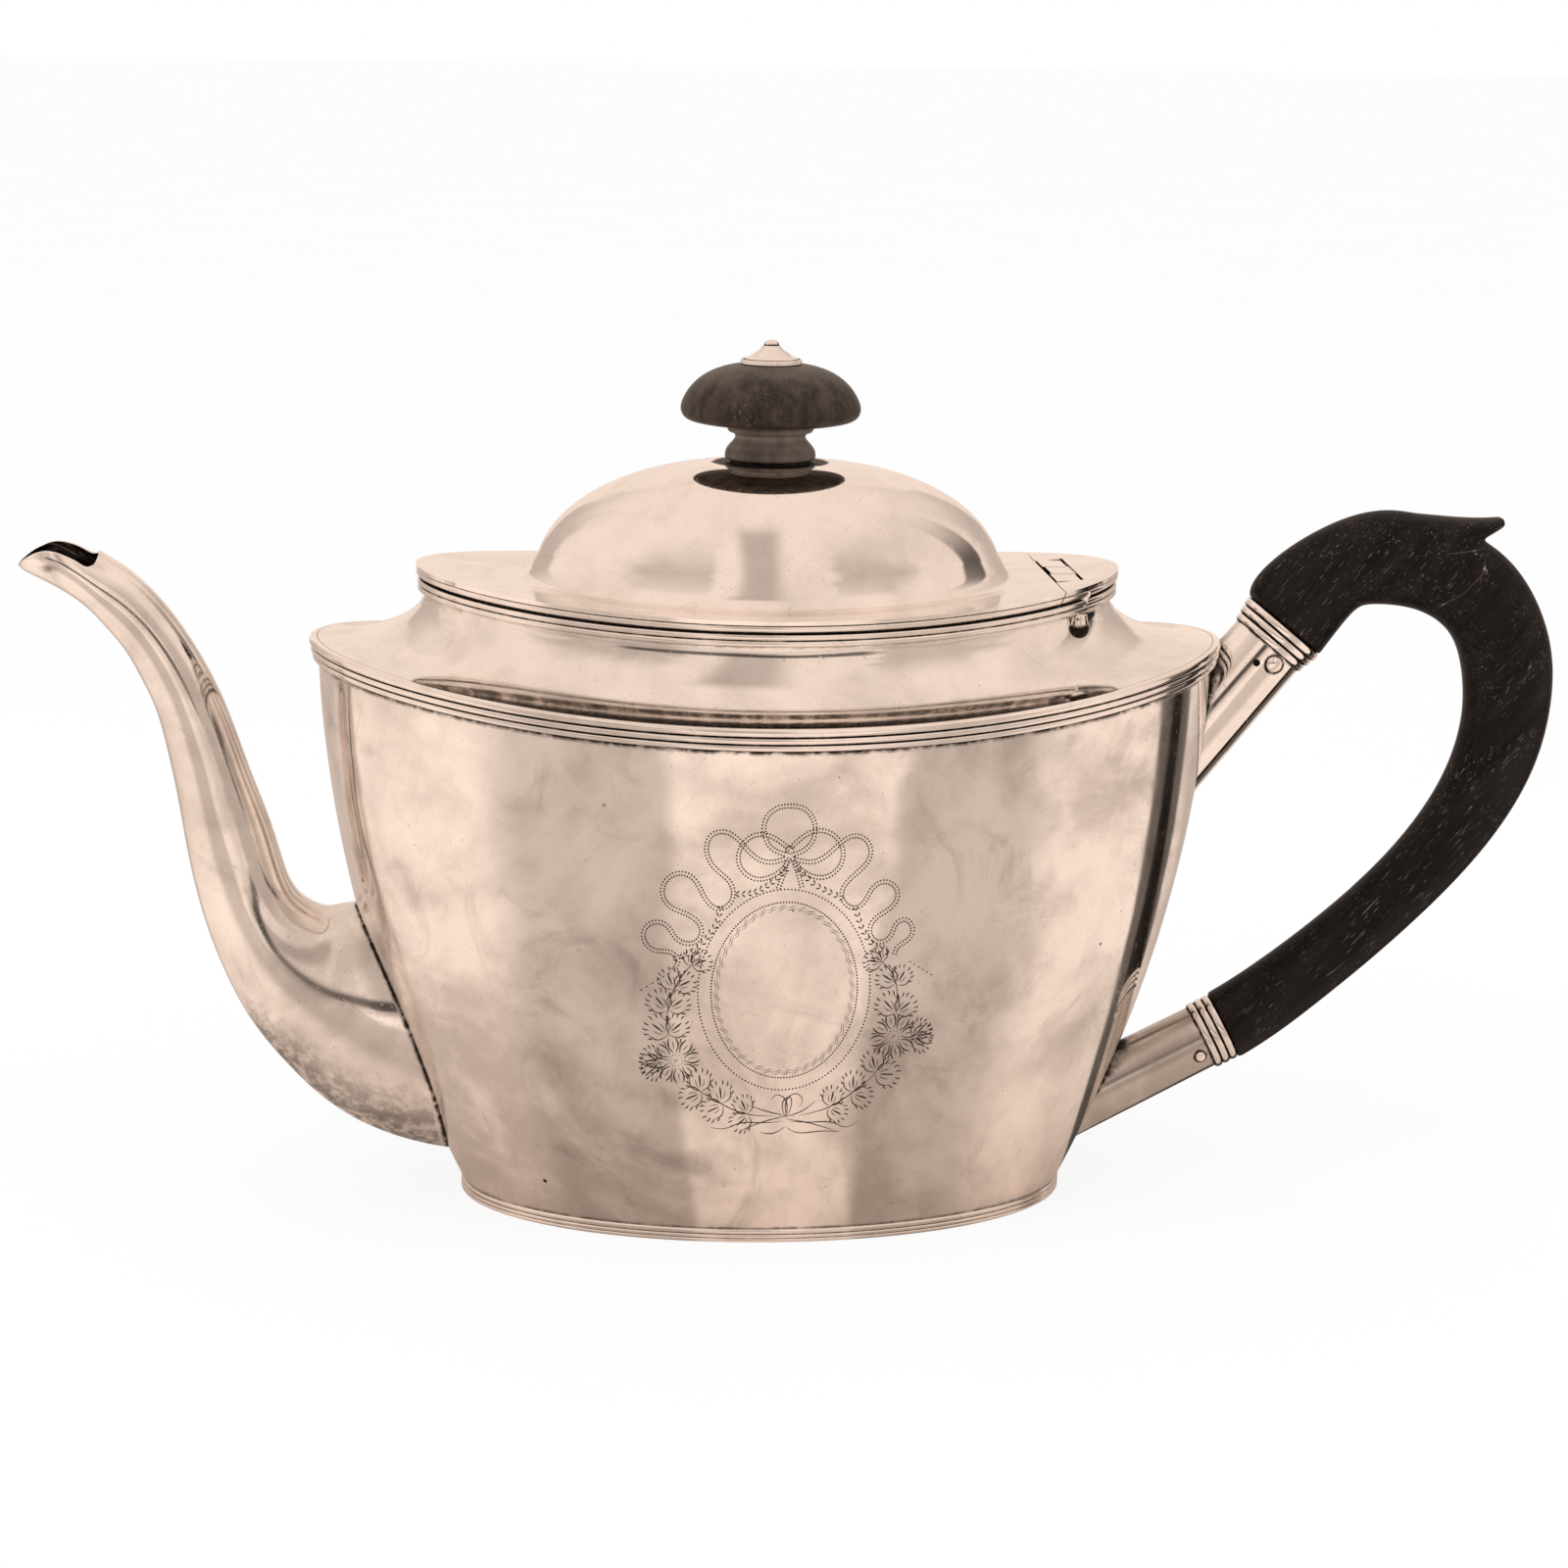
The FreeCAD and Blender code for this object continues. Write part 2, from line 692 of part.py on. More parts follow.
# Turned pieces: knob, cap, bolt, washer and nut

def origin_plane(body, role):
    return next(plane for plane in body.Origin.OriginFeatures if plane.Role == role)


def sketch_on(body, label, role):
    sketch = body.newObject("Sketcher::SketchObject", label)
    sketch.AttachmentSupport = [(origin_plane(body, role), "")]
    sketch.MapMode = "FlatFace"
    return sketch


def tie(sketch, kind, *where_and_dim):
    """Adds a sketch dimension tied to the sheet."""
    *where, dim = where_and_dim
    index = sketch.addConstraint(Sketcher.Constraint(kind, *where, as_dim(dim).value))
    sketch.setExpression(f"Constraints[{index}]", as_dim(dim).text)


def arc_between(start, end, radius, bulge):
    """Circle arc from start to end; bulge +1 bends it to the left of the way, -1 to the right."""
    chord = end - start
    side = V(-chord.y, chord.x, 0).normalize()
    depth = math.sqrt(radius ** 2 - (chord.Length / 2) ** 2)
    middle = (start + end) * 0.5 - side * (depth * bulge)
    angles = [math.atan2(point.y - middle.y, point.x - middle.x) for point in (start, end)]
    if bulge > 0:
        angles.reverse()
    return Part.ArcOfCircle(Part.Circle(middle, UP, radius), *angles)


def turned(label, outline):
    """Body turned round Z. Each corner is (radius, height) and may name the arc to the next one."""
    body = doc.addObject("PartDesign::Body", label)
    sketch = sketch_on(body, f"{label}_outline", "XZ_Plane")
    corners = [V(float(corner[0]), float(corner[1]), 0) for corner in outline]
    ends = []
    for index, corner in enumerate(outline):
        start, end = corners[index], corners[(index + 1) % len(corners)]
        if len(corner) > 2:
            radius, bulge = corner[2:]
            edge = sketch.addGeometry(arc_between(start, end, float(radius), bulge))
            tie(sketch, "Radius", edge, radius)
            ends.append((edge, 1, 2) if bulge < 0 else (edge, 2, 1))
        else:
            ends.append((sketch.addGeometry(Part.LineSegment(start, end)), 1, 2))
    for index, corner in enumerate(outline):
        edge, first, _ = ends[index]
        before, _, last = ends[index - 1]
        sketch.addConstraint(Sketcher.Constraint("Coincident", before, last, edge, first))
        if float(corner[0]) == 0:
            sketch.addConstraint(Sketcher.Constraint("PointOnObject", edge, first, -2))
        else:
            tie(sketch, "DistanceX", -1, 1, edge, first, corner[0])
        tie(sketch, "DistanceY", -1, 1, edge, first, corner[1])
    turning = body.newObject("PartDesign::Revolution", f"{label}_turning")
    turning.Profile = sketch
    turning.ReferenceAxis = (sketch, ["V_Axis"])
    turning.Angle = 360
    return body


knob_top = SEAT_TOP + s.knob_height
knob_cap = SEAT_TOP + s.knob_cap_height
knob = turned("knob", [
    (BOLT_HOLE, SEAT_TOP),
    (s.knob_foot_radius, SEAT_TOP),
    (s.knob_foot_radius, SEAT_TOP + s.knob_foot_height, s.knob_foot_hollow, 1),
    (s.knob_waist_radius, SEAT_TOP + s.knob_waist_height),
    (s.knob_bead_radius, SEAT_TOP + s.knob_waist_height + s.knob_bead_lift),
    (s.knob_bead_radius, knob_cap - s.knob_bead_drop),
    (s.knob_radius - s.knob_brim_depth, knob_cap, s.knob_brim_curve, -1),
    (s.knob_radius, knob_cap + s.knob_brim_rise, s.knob_side_curve, -1),
    (s.knob_radius - s.knob_crown_depth, knob_top - s.knob_crown_drop, s.knob_crown_curve, -1),
    (s.finial_radius + s.finial_seat_margin, knob_top),
    (BOLT_HOLE, knob_top),
])

finial_edge_top = knob_top + s.finial_edge
finial_tip = knob_top + s.finial_height
finial_cap = turned("finial_cap", [
    (0, knob_top),
    (s.finial_radius, knob_top),
    (s.finial_radius, finial_edge_top),
    (s.finial_radius - s.finial_ledge, finial_edge_top + s.finial_ledge_rise, s.finial_hollow, 1),
    (s.finial_radius - s.finial_cone_inset, finial_edge_top + s.finial_cone_rise),
    (s.finial_tip_radius, finial_tip - s.finial_tip_drop),
    (0, finial_tip),
])
MILLING_NICKS = 40
nick_sketch = sketch_on(finial_cap, "milling_nick", "XY_Plane")
nick_sketch.AttachmentOffset = FreeCAD.Placement(V(0, 0, float(knob_top)), FreeCAD.Rotation())
bind(nick_sketch, AttachmentOffset__Base__z=knob_top)
nick = nick_sketch.addGeometry(Part.Circle(V(float(s.finial_radius), 0, 0), UP, float(s.milling_radius)))
tie(nick_sketch, "Radius", nick, s.milling_radius)
nick_sketch.addConstraint(Sketcher.Constraint("PointOnObject", nick, 3, -1))
tie(nick_sketch, "DistanceX", -1, 1, nick, 3, s.finial_radius)
nick_pocket = finial_cap.newObject("PartDesign::Pocket", "milling_cut")
nick_pocket.Profile = nick_sketch
nick_pocket.Reversed = True
bind(nick_pocket, Length=s.finial_edge)
milling = finial_cap.newObject("PartDesign::PolarPattern", "milling")
milling.Originals = [nick_pocket]
milling.Axis = (nick_sketch, ["N_Axis"])
milling.Angle = 360
milling.Occurrences = MILLING_NICKS
finial_cap.Tip = milling

SEAT_UNDER = SEAT_TOP - s.sheet_wall
WASHER_UNDER = SEAT_UNDER - s.washer_thickness
NUT_UNDER = WASHER_UNDER - s.nut_thickness
BOLT_FOOT = NUT_UNDER - s.bolt_end
finial_bolt = put(add("Part::Cylinder", "finial_bolt", Radius=s.bolt_radius, Height=knob_top - BOLT_FOOT),
                  z=BOLT_FOOT)
finial_washer = turned("finial_washer", [
    (BOLT_HOLE, WASHER_UNDER),
    (s.washer_radius, WASHER_UNDER),
    (s.washer_radius, SEAT_UNDER),
    (BOLT_HOLE, SEAT_UNDER),
])
nut_block = put(add("Part::Box", "nut_block", Length=s.nut_width, Width=s.nut_width, Height=s.nut_thickness),
                x=-s.nut_width / 2, y=-s.nut_width / 2, z=NUT_UNDER)
nut_bore = put(add("Part::Cylinder", "nut_bore", Height=s.nut_thickness,
                   Radius=s.bolt_radius + s.bolt_clearance / 4), z=NUT_UNDER)
finial_nut = cut("finial_nut", nut_block, nut_bore)


# Spout

# Each station: how far out and up its lower and upper points lie, as shares of the spout's reach
# and height, and its width as a share of the way from throat to root
SPOUT_STATIONS = (
    (-0.29, 0.066, -0.02, 0.452, 1.0),
    (-0.16, 0.062, 0.12, 0.448, 1.0),
    (0.09, 0.104, 0.19, 0.443, 0.86),
    (0.275, 0.185, 0.25, 0.460, 0.62),
    (0.40, 0.275, 0.282, 0.484, 0.43),
    (0.493, 0.389, 0.302, 0.516, 0.27),
    (0.55, 0.512, 0.335, 0.577, 0.17),
    (0.584, 0.624, 0.386, 0.655, 0.10),
    (0.628, 0.737, 0.453, 0.760, 0.04),
    (0.698, 0.827, 0.552, 0.866, 0.0),
    (0.795, 0.893, 0.672, 0.948, 0.02),
    (0.895, 0.930, 0.84, 1.0, 0.10),
    (0.985, 0.953, 0.975, 0.99, 0.06),
)
# Line of the open mouth, from behind the throat forward past the tip
MOUTH_LINE = ((0.765, 0.962), (0.80, 0.971), (0.88, 0.978), (0.95, 0.974), (1.03, 0.966))


def spout_solid(inward):
    rings = []
    root = wall_half_length(s.spout_root_height)
    for low_out, low_up, high_out, high_up, share in SPOUT_STATIONS:
        low = V(-float(root + s.spout_reach * low_out), 0, float(s.spout_height * low_up))
        high = V(-float(root + s.spout_reach * high_out), 0, float(s.spout_height * high_up))
        across = (high - low).normalize()
        half_depth = (high - low).Length / 2 - inward
        width = s.spout_throat_width + (s.spout_root_width - s.spout_throat_width) * share
        rings.append(ring((low + high) * 0.5, across, half_depth, float(width) / 2 - inward))
    return lofted(rings)


def mouth_cutter():
    """Everything above the line of the mouth, beyond its back corner."""
    root = wall_half_length(s.spout_root_height)
    line = [V(-float(root + s.spout_reach * out), 0, float(s.spout_height * up)) for out, up in MOUTH_LINE]
    curve = Part.BSplineCurve()
    curve.interpolate(Points=line)
    lift = V(0, 0, float(s.spout_height) / 4)
    sides = [Part.LineSegment(line[-1], line[-1] + lift).toShape(),
             Part.LineSegment(line[-1] + lift, line[0] + lift).toShape(),
             Part.LineSegment(line[0] + lift, line[0]).toShape()]
    face = Part.Face(Part.Wire([curve.toShape()] + sides))
    width = float(s.spout_root_width)
    face.translate(V(0, -width / 2, 0))
    return face.extrude(V(0, width, 0))


doc.recompute()
hollow_spout = spout_solid(0).cut(spout_solid(float(s.sheet_wall)))
spout_outside = hollow_spout.cut(wall_outer.Shape).cut(mouth_cutter())
spout = feature("spout", max(spout_outside.Solids, key=lambda piece: piece.Volume))


# Handle sockets, collars and pins

def socket(label, end_x, end_z, neighbours):
    """Tapered oval tube, ending on its neighbours, with its reeded collar and cross pin."""
    angle, depth, width, length = (
        getattr(s, f"{label}_socket_{size}") for size in ("angle", "depth", "width", "length"))
    collar_step = getattr(s, f"{label}_collar_step")
    pin_radius = getattr(s, f"{label}_pin_radius")
    tilt = FreeCAD.Rotation(V(0, 1, 0), 90 - angle.value)
    axis = tilt.multVec(UP)
    lower_side = tilt.multVec(V(1, 0, 0))
    end = V(float(end_x), 0, float(end_z))

    def section(name, back, grow):
        oval_line = add("Part::Ellipse", f"{label}_{name}", MajorRadius=depth / 2 + grow,
                        MinorRadius=width / 2 + grow)
        oval_line.Placement = FreeCAD.Placement(end - axis * back, tilt)
        return oval_line

    outer = doc.addObject("Part::Loft", f"{label}_outer")
    outer.Sections = [section("root", length.value, s.socket_flare), section("end", 0, 0)]
    outer.Solid = True
    bore = add("Part::Extrusion", f"{label}_bore", LengthFwd=length)
    bore.Base = section("bore_line", length.value, -s.socket_wall)
    bore.Dir = axis
    bore.Solid = True
    outside = cut(f"{label}_tube", outer, bore)
    for neighbour in neighbours:
        outside = cut(f"{label}_beside_{neighbour.Name}", outside, neighbour)

    pin_middle = end - axis * s.pin_setback.value + lower_side * s.pin_drop.value
    pin_length = width + 2 * s.pin_proud
    hole = add("Part::Cylinder", f"{label}_pin_hole", Radius=pin_radius + s.solder_seam, Height=pin_length)
    hole.Placement = FreeCAD.Placement(pin_middle - V(0, pin_length.value / 2, 0), ALONG_Y)
    drilled = cut(f"{label}_socket", outside, hole)

    shank = add("Part::Cylinder", f"{label}_pin_bar", Radius=pin_radius, Height=pin_length)
    shank.Placement = FreeCAD.Placement(pin_middle - V(0, pin_length.value / 2, 0), ALONG_Y)
    doc.recompute()
    pin = doc.addObject("Part::Fillet", f"{label}_pin")
    pin.Base = shank
    pin.Edges = [(1, s.pin_proud.value, s.pin_proud.value), (3, s.pin_proud.value, s.pin_proud.value)]

    reeds = [(s.collar_reed_radius.value, collar_step.value * place) for place in (2, 1, 0)]
    ring_shape = wire(depth / 2 - s.collar_sink, width / 2 - s.collar_sink, 0, 0, reeds)
    ring_wire = feature(f"{label}_collar_wire", ring_shape)
    ring_wire.Placement = FreeCAD.Placement(end, tilt)
    collar = cut(f"{label}_collar", ring_wire, outer)
    return SimpleNamespace(end=end, axis=axis, tilt=tilt, tube=drilled, hole=hole, pin=pin, collar=collar)


upper = socket("upper", s.rim_half_length + s.upper_socket_out, s.rim_height + s.upper_socket_up,
               (wall_outer, shoulder_reeding))
lower = socket("lower", wall_half_length(s.lower_socket_height) + s.lower_socket_out, s.lower_socket_height,
               (wall_outer,))


# Handle

def handle_spine():
    """Middle line of the handle, leaving and meeting the sockets along their axes."""
    start = upper.end
    low = lower.end
    points = [
        start,
        start + V(s.handle_rise_out, 0, s.handle_rise_up),
        start + V(s.handle_bend_out, 0, s.handle_bend_up),
        start + V(s.handle_back_out, 0, -s.handle_back_down),
        start + V(s.handle_low_out, 0, -s.handle_low_down),
        low,
    ]
    curve = Part.BSplineCurve()
    curve.interpolate(Points=points, InitialTangent=upper.axis * s.handle_upper_lead.value,
                      FinalTangent=lower.axis * -s.handle_lower_lead.value, Scale=False)
    return curve


HANDLE_STATIONS = 15
# Shares of the handle's length: where it starts to slim, and where it is slimmest
SLIMMING_FROM = 0.35
SLIMMEST_AT = 0.75


def eased(share):
    """Smooth rise from 0 to 1."""
    held = min(1.0, max(0.0, share))
    return held * held * (3 - 2 * held)


def handle_shape():
    curve = handle_spine()
    bottom, top = curve.FirstParameter, curve.LastParameter
    rings = []
    for step in range(HANDLE_STATIONS):
        share = step / (HANDLE_STATIONS - 1)
        place = bottom + (top - bottom) * share
        tangent = V(curve.tangent(place)[0])
        across = tangent.cross(V(0, 1, 0)).normalize()
        slimming = eased((share - SLIMMING_FROM) / (SLIMMEST_AT - SLIMMING_FROM))
        swelling = eased((share - SLIMMEST_AT) / (1 - SLIMMEST_AT))
        depth = (s.handle_grip_depth.value
                 + (s.handle_waist_depth - s.handle_grip_depth).value * slimming
                 + (s.handle_low_depth - s.handle_waist_depth).value * swelling)
        width = s.handle_grip_width.value - (s.upper_socket_width - s.lower_socket_width).value * slimming
        rings.append(ring(curve.value(place), across, depth / 2, width / 2))
    return lofted(rings)


def tenon(place, depth, width):
    """Oval peg of the handle inside a socket."""
    shrink = s.socket_wall.value + s.tenon_clearance.value
    rooted = s.tenon_length.value / 4
    peg = Part.Ellipse(V(0, 0, rooted), depth.value / 2 - shrink, width.value / 2 - shrink)
    solid = flat_face(peg.toShape()).extrude(V(0, 0, -rooted - s.tenon_length.value))
    solid.Placement = FreeCAD.Placement(place.end, place.tilt)
    return solid


# Each station of the thumb spur: share of its reach, drop of its middle below its tip as a share
# of its rise, and shares of its depth and width
SPUR_STATIONS = (
    (0.45, 0.20, 1.0, 1.0),
    (0.68, 0.16, 0.75, 0.93),
    (0.88, 0.08, 0.39, 0.75),
    (1.0, 0.0, 0.16, 0.46),
)


def thumb_spur():
    rings = []
    for share, drop, depth_share, width_share in SPUR_STATIONS:
        middle = upper.end + V(s.spur_reach.value * share, 0, s.spur_up.value * (1 - drop))
        half_depth = s.spur_depth.value / 2 * depth_share
        rings.append(ring(middle, UP, half_depth, s.spur_width.value / 2 * width_share))
    return lofted(rings)


doc.recompute()
wood = handle_shape().fuse([thumb_spur(),
                            tenon(upper, s.upper_socket_depth, s.upper_socket_width),
                            tenon(lower, s.lower_socket_depth, s.lower_socket_width)])
handle = feature("handle", wood.cut(upper.hole.Shape).cut(lower.hole.Shape).removeSplitter())


# Names and files

SUB_PARTS = {
    "body_wall": body_wall,
    "base_plate": base_plate,
    "foot_reeding": foot_reeding,
    "shoulder_panel": shoulder_panel,
    "shoulder_reeding": shoulder_reeding,
    "rim_reeding": rim_reeding,
    "hinge_leaf": hinge_leaf,
    "leaf_reeding": leaf_reeding,
    "pot_knuckles": pot_knuckles,
    "hinge_pin": hinge_pin,
    "hinge_lugs": hinge_lugs,
    "spout": spout,
    "upper_socket": upper.tube,
    "upper_collar": upper.collar,
    "upper_pin": upper.pin,
    "lower_socket": lower.tube,
    "lower_collar": lower.collar,
    "lower_pin": lower.pin,
    "handle": handle,
    "lid": lid,
    "lid_reeding": lid_reeding,
    "lid_bezel": lid_bezel,
    "lid_knuckles": lid_knuckles,
    "knob": knob,
    "finial_cap": finial_cap,
    "finial_bolt": finial_bolt,
    "finial_washer": finial_washer,
    "finial_nut": finial_nut,
}

doc.recompute()
for thing in doc.Objects:
    if "Invalid" in thing.State or "Error" in thing.State:
        raise RuntimeError(f"{thing.Label} did not build: {thing.State}")
for node, thing in SUB_PARTS.items():
    thing.Label = node
    if thing.Shape.isNull() or not thing.Shape.isValid():
        raise RuntimeError(f"{node} has no valid shape")
    print(f"{node}: {len(thing.Shape.Solids)} solid(s), {thing.Shape.Volume:.1f} cubic mm")
os.makedirs("parts", exist_ok=True)
for node, thing in SUB_PARTS.items():
    thing.Shape.exportStep(f"parts/{node}.step")
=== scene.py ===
import math

import bmesh
import bpy
import numpy as np
from mathutils import Matrix, Vector, noise
from mathutils.bvhtree import BVHTree

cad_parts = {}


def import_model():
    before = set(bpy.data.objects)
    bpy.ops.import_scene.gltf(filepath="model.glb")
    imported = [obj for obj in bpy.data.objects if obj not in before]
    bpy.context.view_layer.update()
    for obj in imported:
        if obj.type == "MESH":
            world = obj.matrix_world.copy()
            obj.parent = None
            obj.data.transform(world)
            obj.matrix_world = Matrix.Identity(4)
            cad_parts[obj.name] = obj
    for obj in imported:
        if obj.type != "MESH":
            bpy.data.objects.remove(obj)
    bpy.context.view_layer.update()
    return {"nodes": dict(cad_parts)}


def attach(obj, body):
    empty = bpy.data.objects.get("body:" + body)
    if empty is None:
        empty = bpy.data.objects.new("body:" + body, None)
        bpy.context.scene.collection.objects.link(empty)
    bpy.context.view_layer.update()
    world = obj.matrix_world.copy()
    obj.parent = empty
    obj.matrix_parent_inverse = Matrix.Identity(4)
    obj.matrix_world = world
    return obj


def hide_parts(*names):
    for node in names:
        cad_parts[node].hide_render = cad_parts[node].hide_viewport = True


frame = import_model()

# An oval silver teapot with a hinged lid, a swan-neck spout and a dark wooden handle.
# Sizes are millimetres, as in the part's sheet, until a mesh is made. X runs towards the handle,
# -Y towards the viewer and Z up.

MM = 0.001

# Sizes shared with the solids
FOOT_HALF_LENGTH, FOOT_HALF_WIDTH = 53.6, 34.4
RIM_HALF_LENGTH, RIM_HALF_WIDTH = 79.5, 51.0
RIM_HEIGHT, RIM_RISE = 93.4, 7.3
BASE_THICKNESS = 0.9
WALL_TOP = RIM_HEIGHT + RIM_RISE + 4.0
SHEET = 0.7
SEAM = 0.05
NECK_HALF_LENGTH, NECK_HALF_WIDTH = 60.7, 38.9
NECK_HEIGHT, NECK_RISE = 108.0, 3.8
RIM_REED = 0.58
LID_OVERHANG, LID_REED, LID_GAP = 1.5, 0.6, 0.3
DOME_HALF_LENGTH, DOME_HALF_WIDTH = 41.3, 28.5
DOME_HEIGHT, DOME_FILLET = 22.0, 4.0
WIRE_BACK = 0.4
HINGE_INSET, KNUCKLE_RADIUS, HINGE_GAP = 10.2, 2.0, 0.3
SEAT_RADIUS, BOLT_HOLE, KNOB_HEIGHT = 8.3, 1.6, 17.2
FINIAL_RADIUS, FINIAL_EDGE = 5.4, 0.9

LID_HALF_LENGTH = NECK_HALF_LENGTH + LID_OVERHANG
LID_HALF_WIDTH = NECK_HALF_WIDTH + LID_OVERHANG
FLANGE_UNDER = NECK_HEIGHT + LID_GAP + 2 * LID_REED
FLANGE_TOP = FLANGE_UNDER + SHEET
SEAT_TOP = FLANGE_TOP + DOME_HEIGHT
KNOB_TOP = SEAT_TOP + KNOB_HEIGHT
HINGE_X = LID_HALF_LENGTH - HINGE_INSET


def full_turn(columns):
    """Even angles round an axis."""
    return np.linspace(0, math.tau, columns, endpoint=False)


OVAL_COLUMNS = 384
OVAL_TURNS = full_turn(OVAL_COLUMNS)
# Share of grime on faces that nobody polishes
INSIDE_GRIME = 0.25


# Meshes

def ring_faces(rows, columns, loop, start):
    """Faces of a tube of rings: the last ring joins the first when loop, otherwise both ends are closed."""
    faces = []
    for row in range(rows if loop else rows - 1):
        here, there = start + row * columns, start + (row + 1) % rows * columns
        for column in range(columns):
            following = (column + 1) % columns
            faces.append((here + column, here + following, there + following, there + column))
    if not loop:
        last = start + (rows - 1) * columns
        faces += [tuple(range(start, start + columns)), tuple(range(last, last + columns))]
    return faces


def new_object(name, data):
    thing = bpy.data.objects.new(name, data)
    bpy.context.scene.collection.objects.link(thing)
    return thing


def settle(piece, body, replaced):
    """Puts a piece on its body and hides the solids that it stands for."""
    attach(piece, body)
    if replaced:
        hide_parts(*replaced)
    return piece


def mesh_piece(name, points, faces, body, material, replaced=(), slot="silver", sharp=40.0, grime=None):
    """Makes a smooth piece from points in millimetres."""
    mesh = bpy.data.meshes.new(name)
    mesh.from_pydata(np.asarray(points, float) * MM, [], faces)
    if grime is not None:
        layer = mesh.attributes.new("grime", "FLOAT", "POINT")
        layer.data.foreach_set("value", np.asarray(grime, np.float32).ravel())
    shaped = bmesh.new()
    shaped.from_mesh(mesh)
    bmesh.ops.recalc_face_normals(shaped, faces=shaped.faces)
    shaped.to_mesh(mesh)
    shaped.free()
    mesh.shade_smooth()
    mesh.set_sharp_from_angle(angle=math.radians(sharp))
    mesh.materials.append(material)
    return settle(new_object(name, mesh), body, replaced)


def bodies_piece(name, bodies, *place, loop=False, **look):
    """One piece from bodies that are each made of rings of points."""
    points, faces = [], []
    for rings in bodies:
        rings = np.asarray(rings, float)
        faces += ring_faces(*rings.shape[:2], loop, len(points))
        points.extend(rings.reshape(-1, 3))
    return mesh_piece(name, points, faces, *place, **look)


def band_piece(name, rings, *place, **look):
    """Piece that is one closed band of rings."""
    return bodies_piece(name, [rings], *place, loop=True, **look)


CUT_SLANT = 0.5


def keep_side(piece, x, level, side):
    """Cuts a closed piece at x and closes the cut; side is +1 to keep what lies beyond x.

    The cut slants towards the spout below the level, for both edges of the lid's seam alike.
    """
    shaped = bmesh.new()
    shaped.from_mesh(piece.data)
    geometry = shaped.verts[:] + shaped.edges[:] + shaped.faces[:]
    normal = Vector((-side, 0, side * CUT_SLANT))
    bisected = bmesh.ops.bisect_plane(shaped, geom=geometry, dist=1e-7, plane_co=(x * MM, 0, level * MM),
                                      plane_no=normal, clear_outer=True)
    edges = [item for item in bisected["geom_cut"] if isinstance(item, bmesh.types.BMEdge)]
    filled = bmesh.ops.triangle_fill(shaped, edges=edges, use_beauty=True, use_dissolve=False)
    bmesh.ops.recalc_face_normals(shaped, faces=shaped.faces)
    for item in filled["geom"]:
        if isinstance(item, bmesh.types.BMFace):
            item.smooth = False
    for edge in edges:
        if edge.is_valid:
            edge.smooth = False
    shaped.to_mesh(piece.data)
    shaped.free()
    return piece


def apply_modifiers(piece):
    bpy.context.view_layer.update()
    mesh = bpy.data.meshes.new_from_object(piece.evaluated_get(bpy.context.evaluated_depsgraph_get()))
    piece.modifiers.clear()
    mesh.name = piece.name
    piece.data = mesh


def carve(piece, shaped):
    """Takes the closed mesh in shaped away from a piece."""
    mesh = bpy.data.meshes.new("carver")
    bmesh.ops.recalc_face_normals(shaped, faces=shaped.faces)
    shaped.to_mesh(mesh)
    shaped.free()
    tool = new_object("carver", mesh)
    cutter = piece.modifiers.new("carve", "BOOLEAN")
    cutter.operation = "DIFFERENCE"
    cutter.solver = "EXACT"
    cutter.object = tool
    apply_modifiers(piece)
    bpy.data.objects.remove(tool)


def carve_across(piece, near_outline, far_outline, half_width):
    """Takes a bar across the pot away from a piece; the outlines of its two ends are (x, z) points."""
    shaped = bmesh.new()
    corners = [shaped.verts.new((x * MM, y * MM, z * MM))
               for y, outline in ((-half_width, near_outline), (half_width, far_outline)) for x, z in outline]
    for face in ring_faces(2, len(near_outline), False, 0):
        shaped.faces.new([corners[corner] for corner in face])
    carve(piece, shaped)


def drill(piece, middles, axis, radius, depth, sides):
    """Drills round holes into a piece."""
    drills = bmesh.new()
    for middle in middles:
        lie = Matrix.Translation(Vector(middle) * MM) @ Matrix.Rotation(math.pi / 2, 4, axis)
        bmesh.ops.create_cone(drills, cap_ends=True, segments=sides, radius1=radius * MM, radius2=radius * MM,
                              depth=depth * MM, matrix=lie)
    carve(piece, drills)


# Lines

def cubic_line(knots, values, samples):
    """Smooth cubic with free ends through values at knots."""
    knots, values = np.asarray(knots, float), np.asarray(values, float)
    count = len(knots)
    gaps = np.diff(knots)
    steps = np.diff(values, axis=0) / gaps[:, None]
    matrix = np.zeros((count, count))
    right = np.zeros_like(values)
    for index in range(1, count - 1):
        matrix[index, index - 1:index + 2] = gaps[index - 1], 2 * (gaps[index - 1] + gaps[index]), gaps[index]
        right[index] = 6 * (steps[index] - steps[index - 1])
    matrix[0, 0] = matrix[-1, -1] = 1
    bends = np.linalg.solve(matrix, right)
    index = np.clip(np.searchsorted(knots, samples, side="right") - 1, 0, count - 2)
    gap = gaps[index][:, None]
    before = (samples - knots[index])[:, None]
    after = (knots[index + 1] - samples)[:, None]
    line = (bends[index] * after ** 3 + bends[index + 1] * before ** 3) / (6 * gap)
    line += (values[index] / gap - bends[index] * gap / 6) * after
    line += (values[index + 1] / gap - bends[index + 1] * gap / 6) * before
    return line


def chord_knots(points):
    """Distances along a line of points."""
    return np.concatenate([[0], np.cumsum(np.linalg.norm(np.diff(points, axis=0), axis=1))])


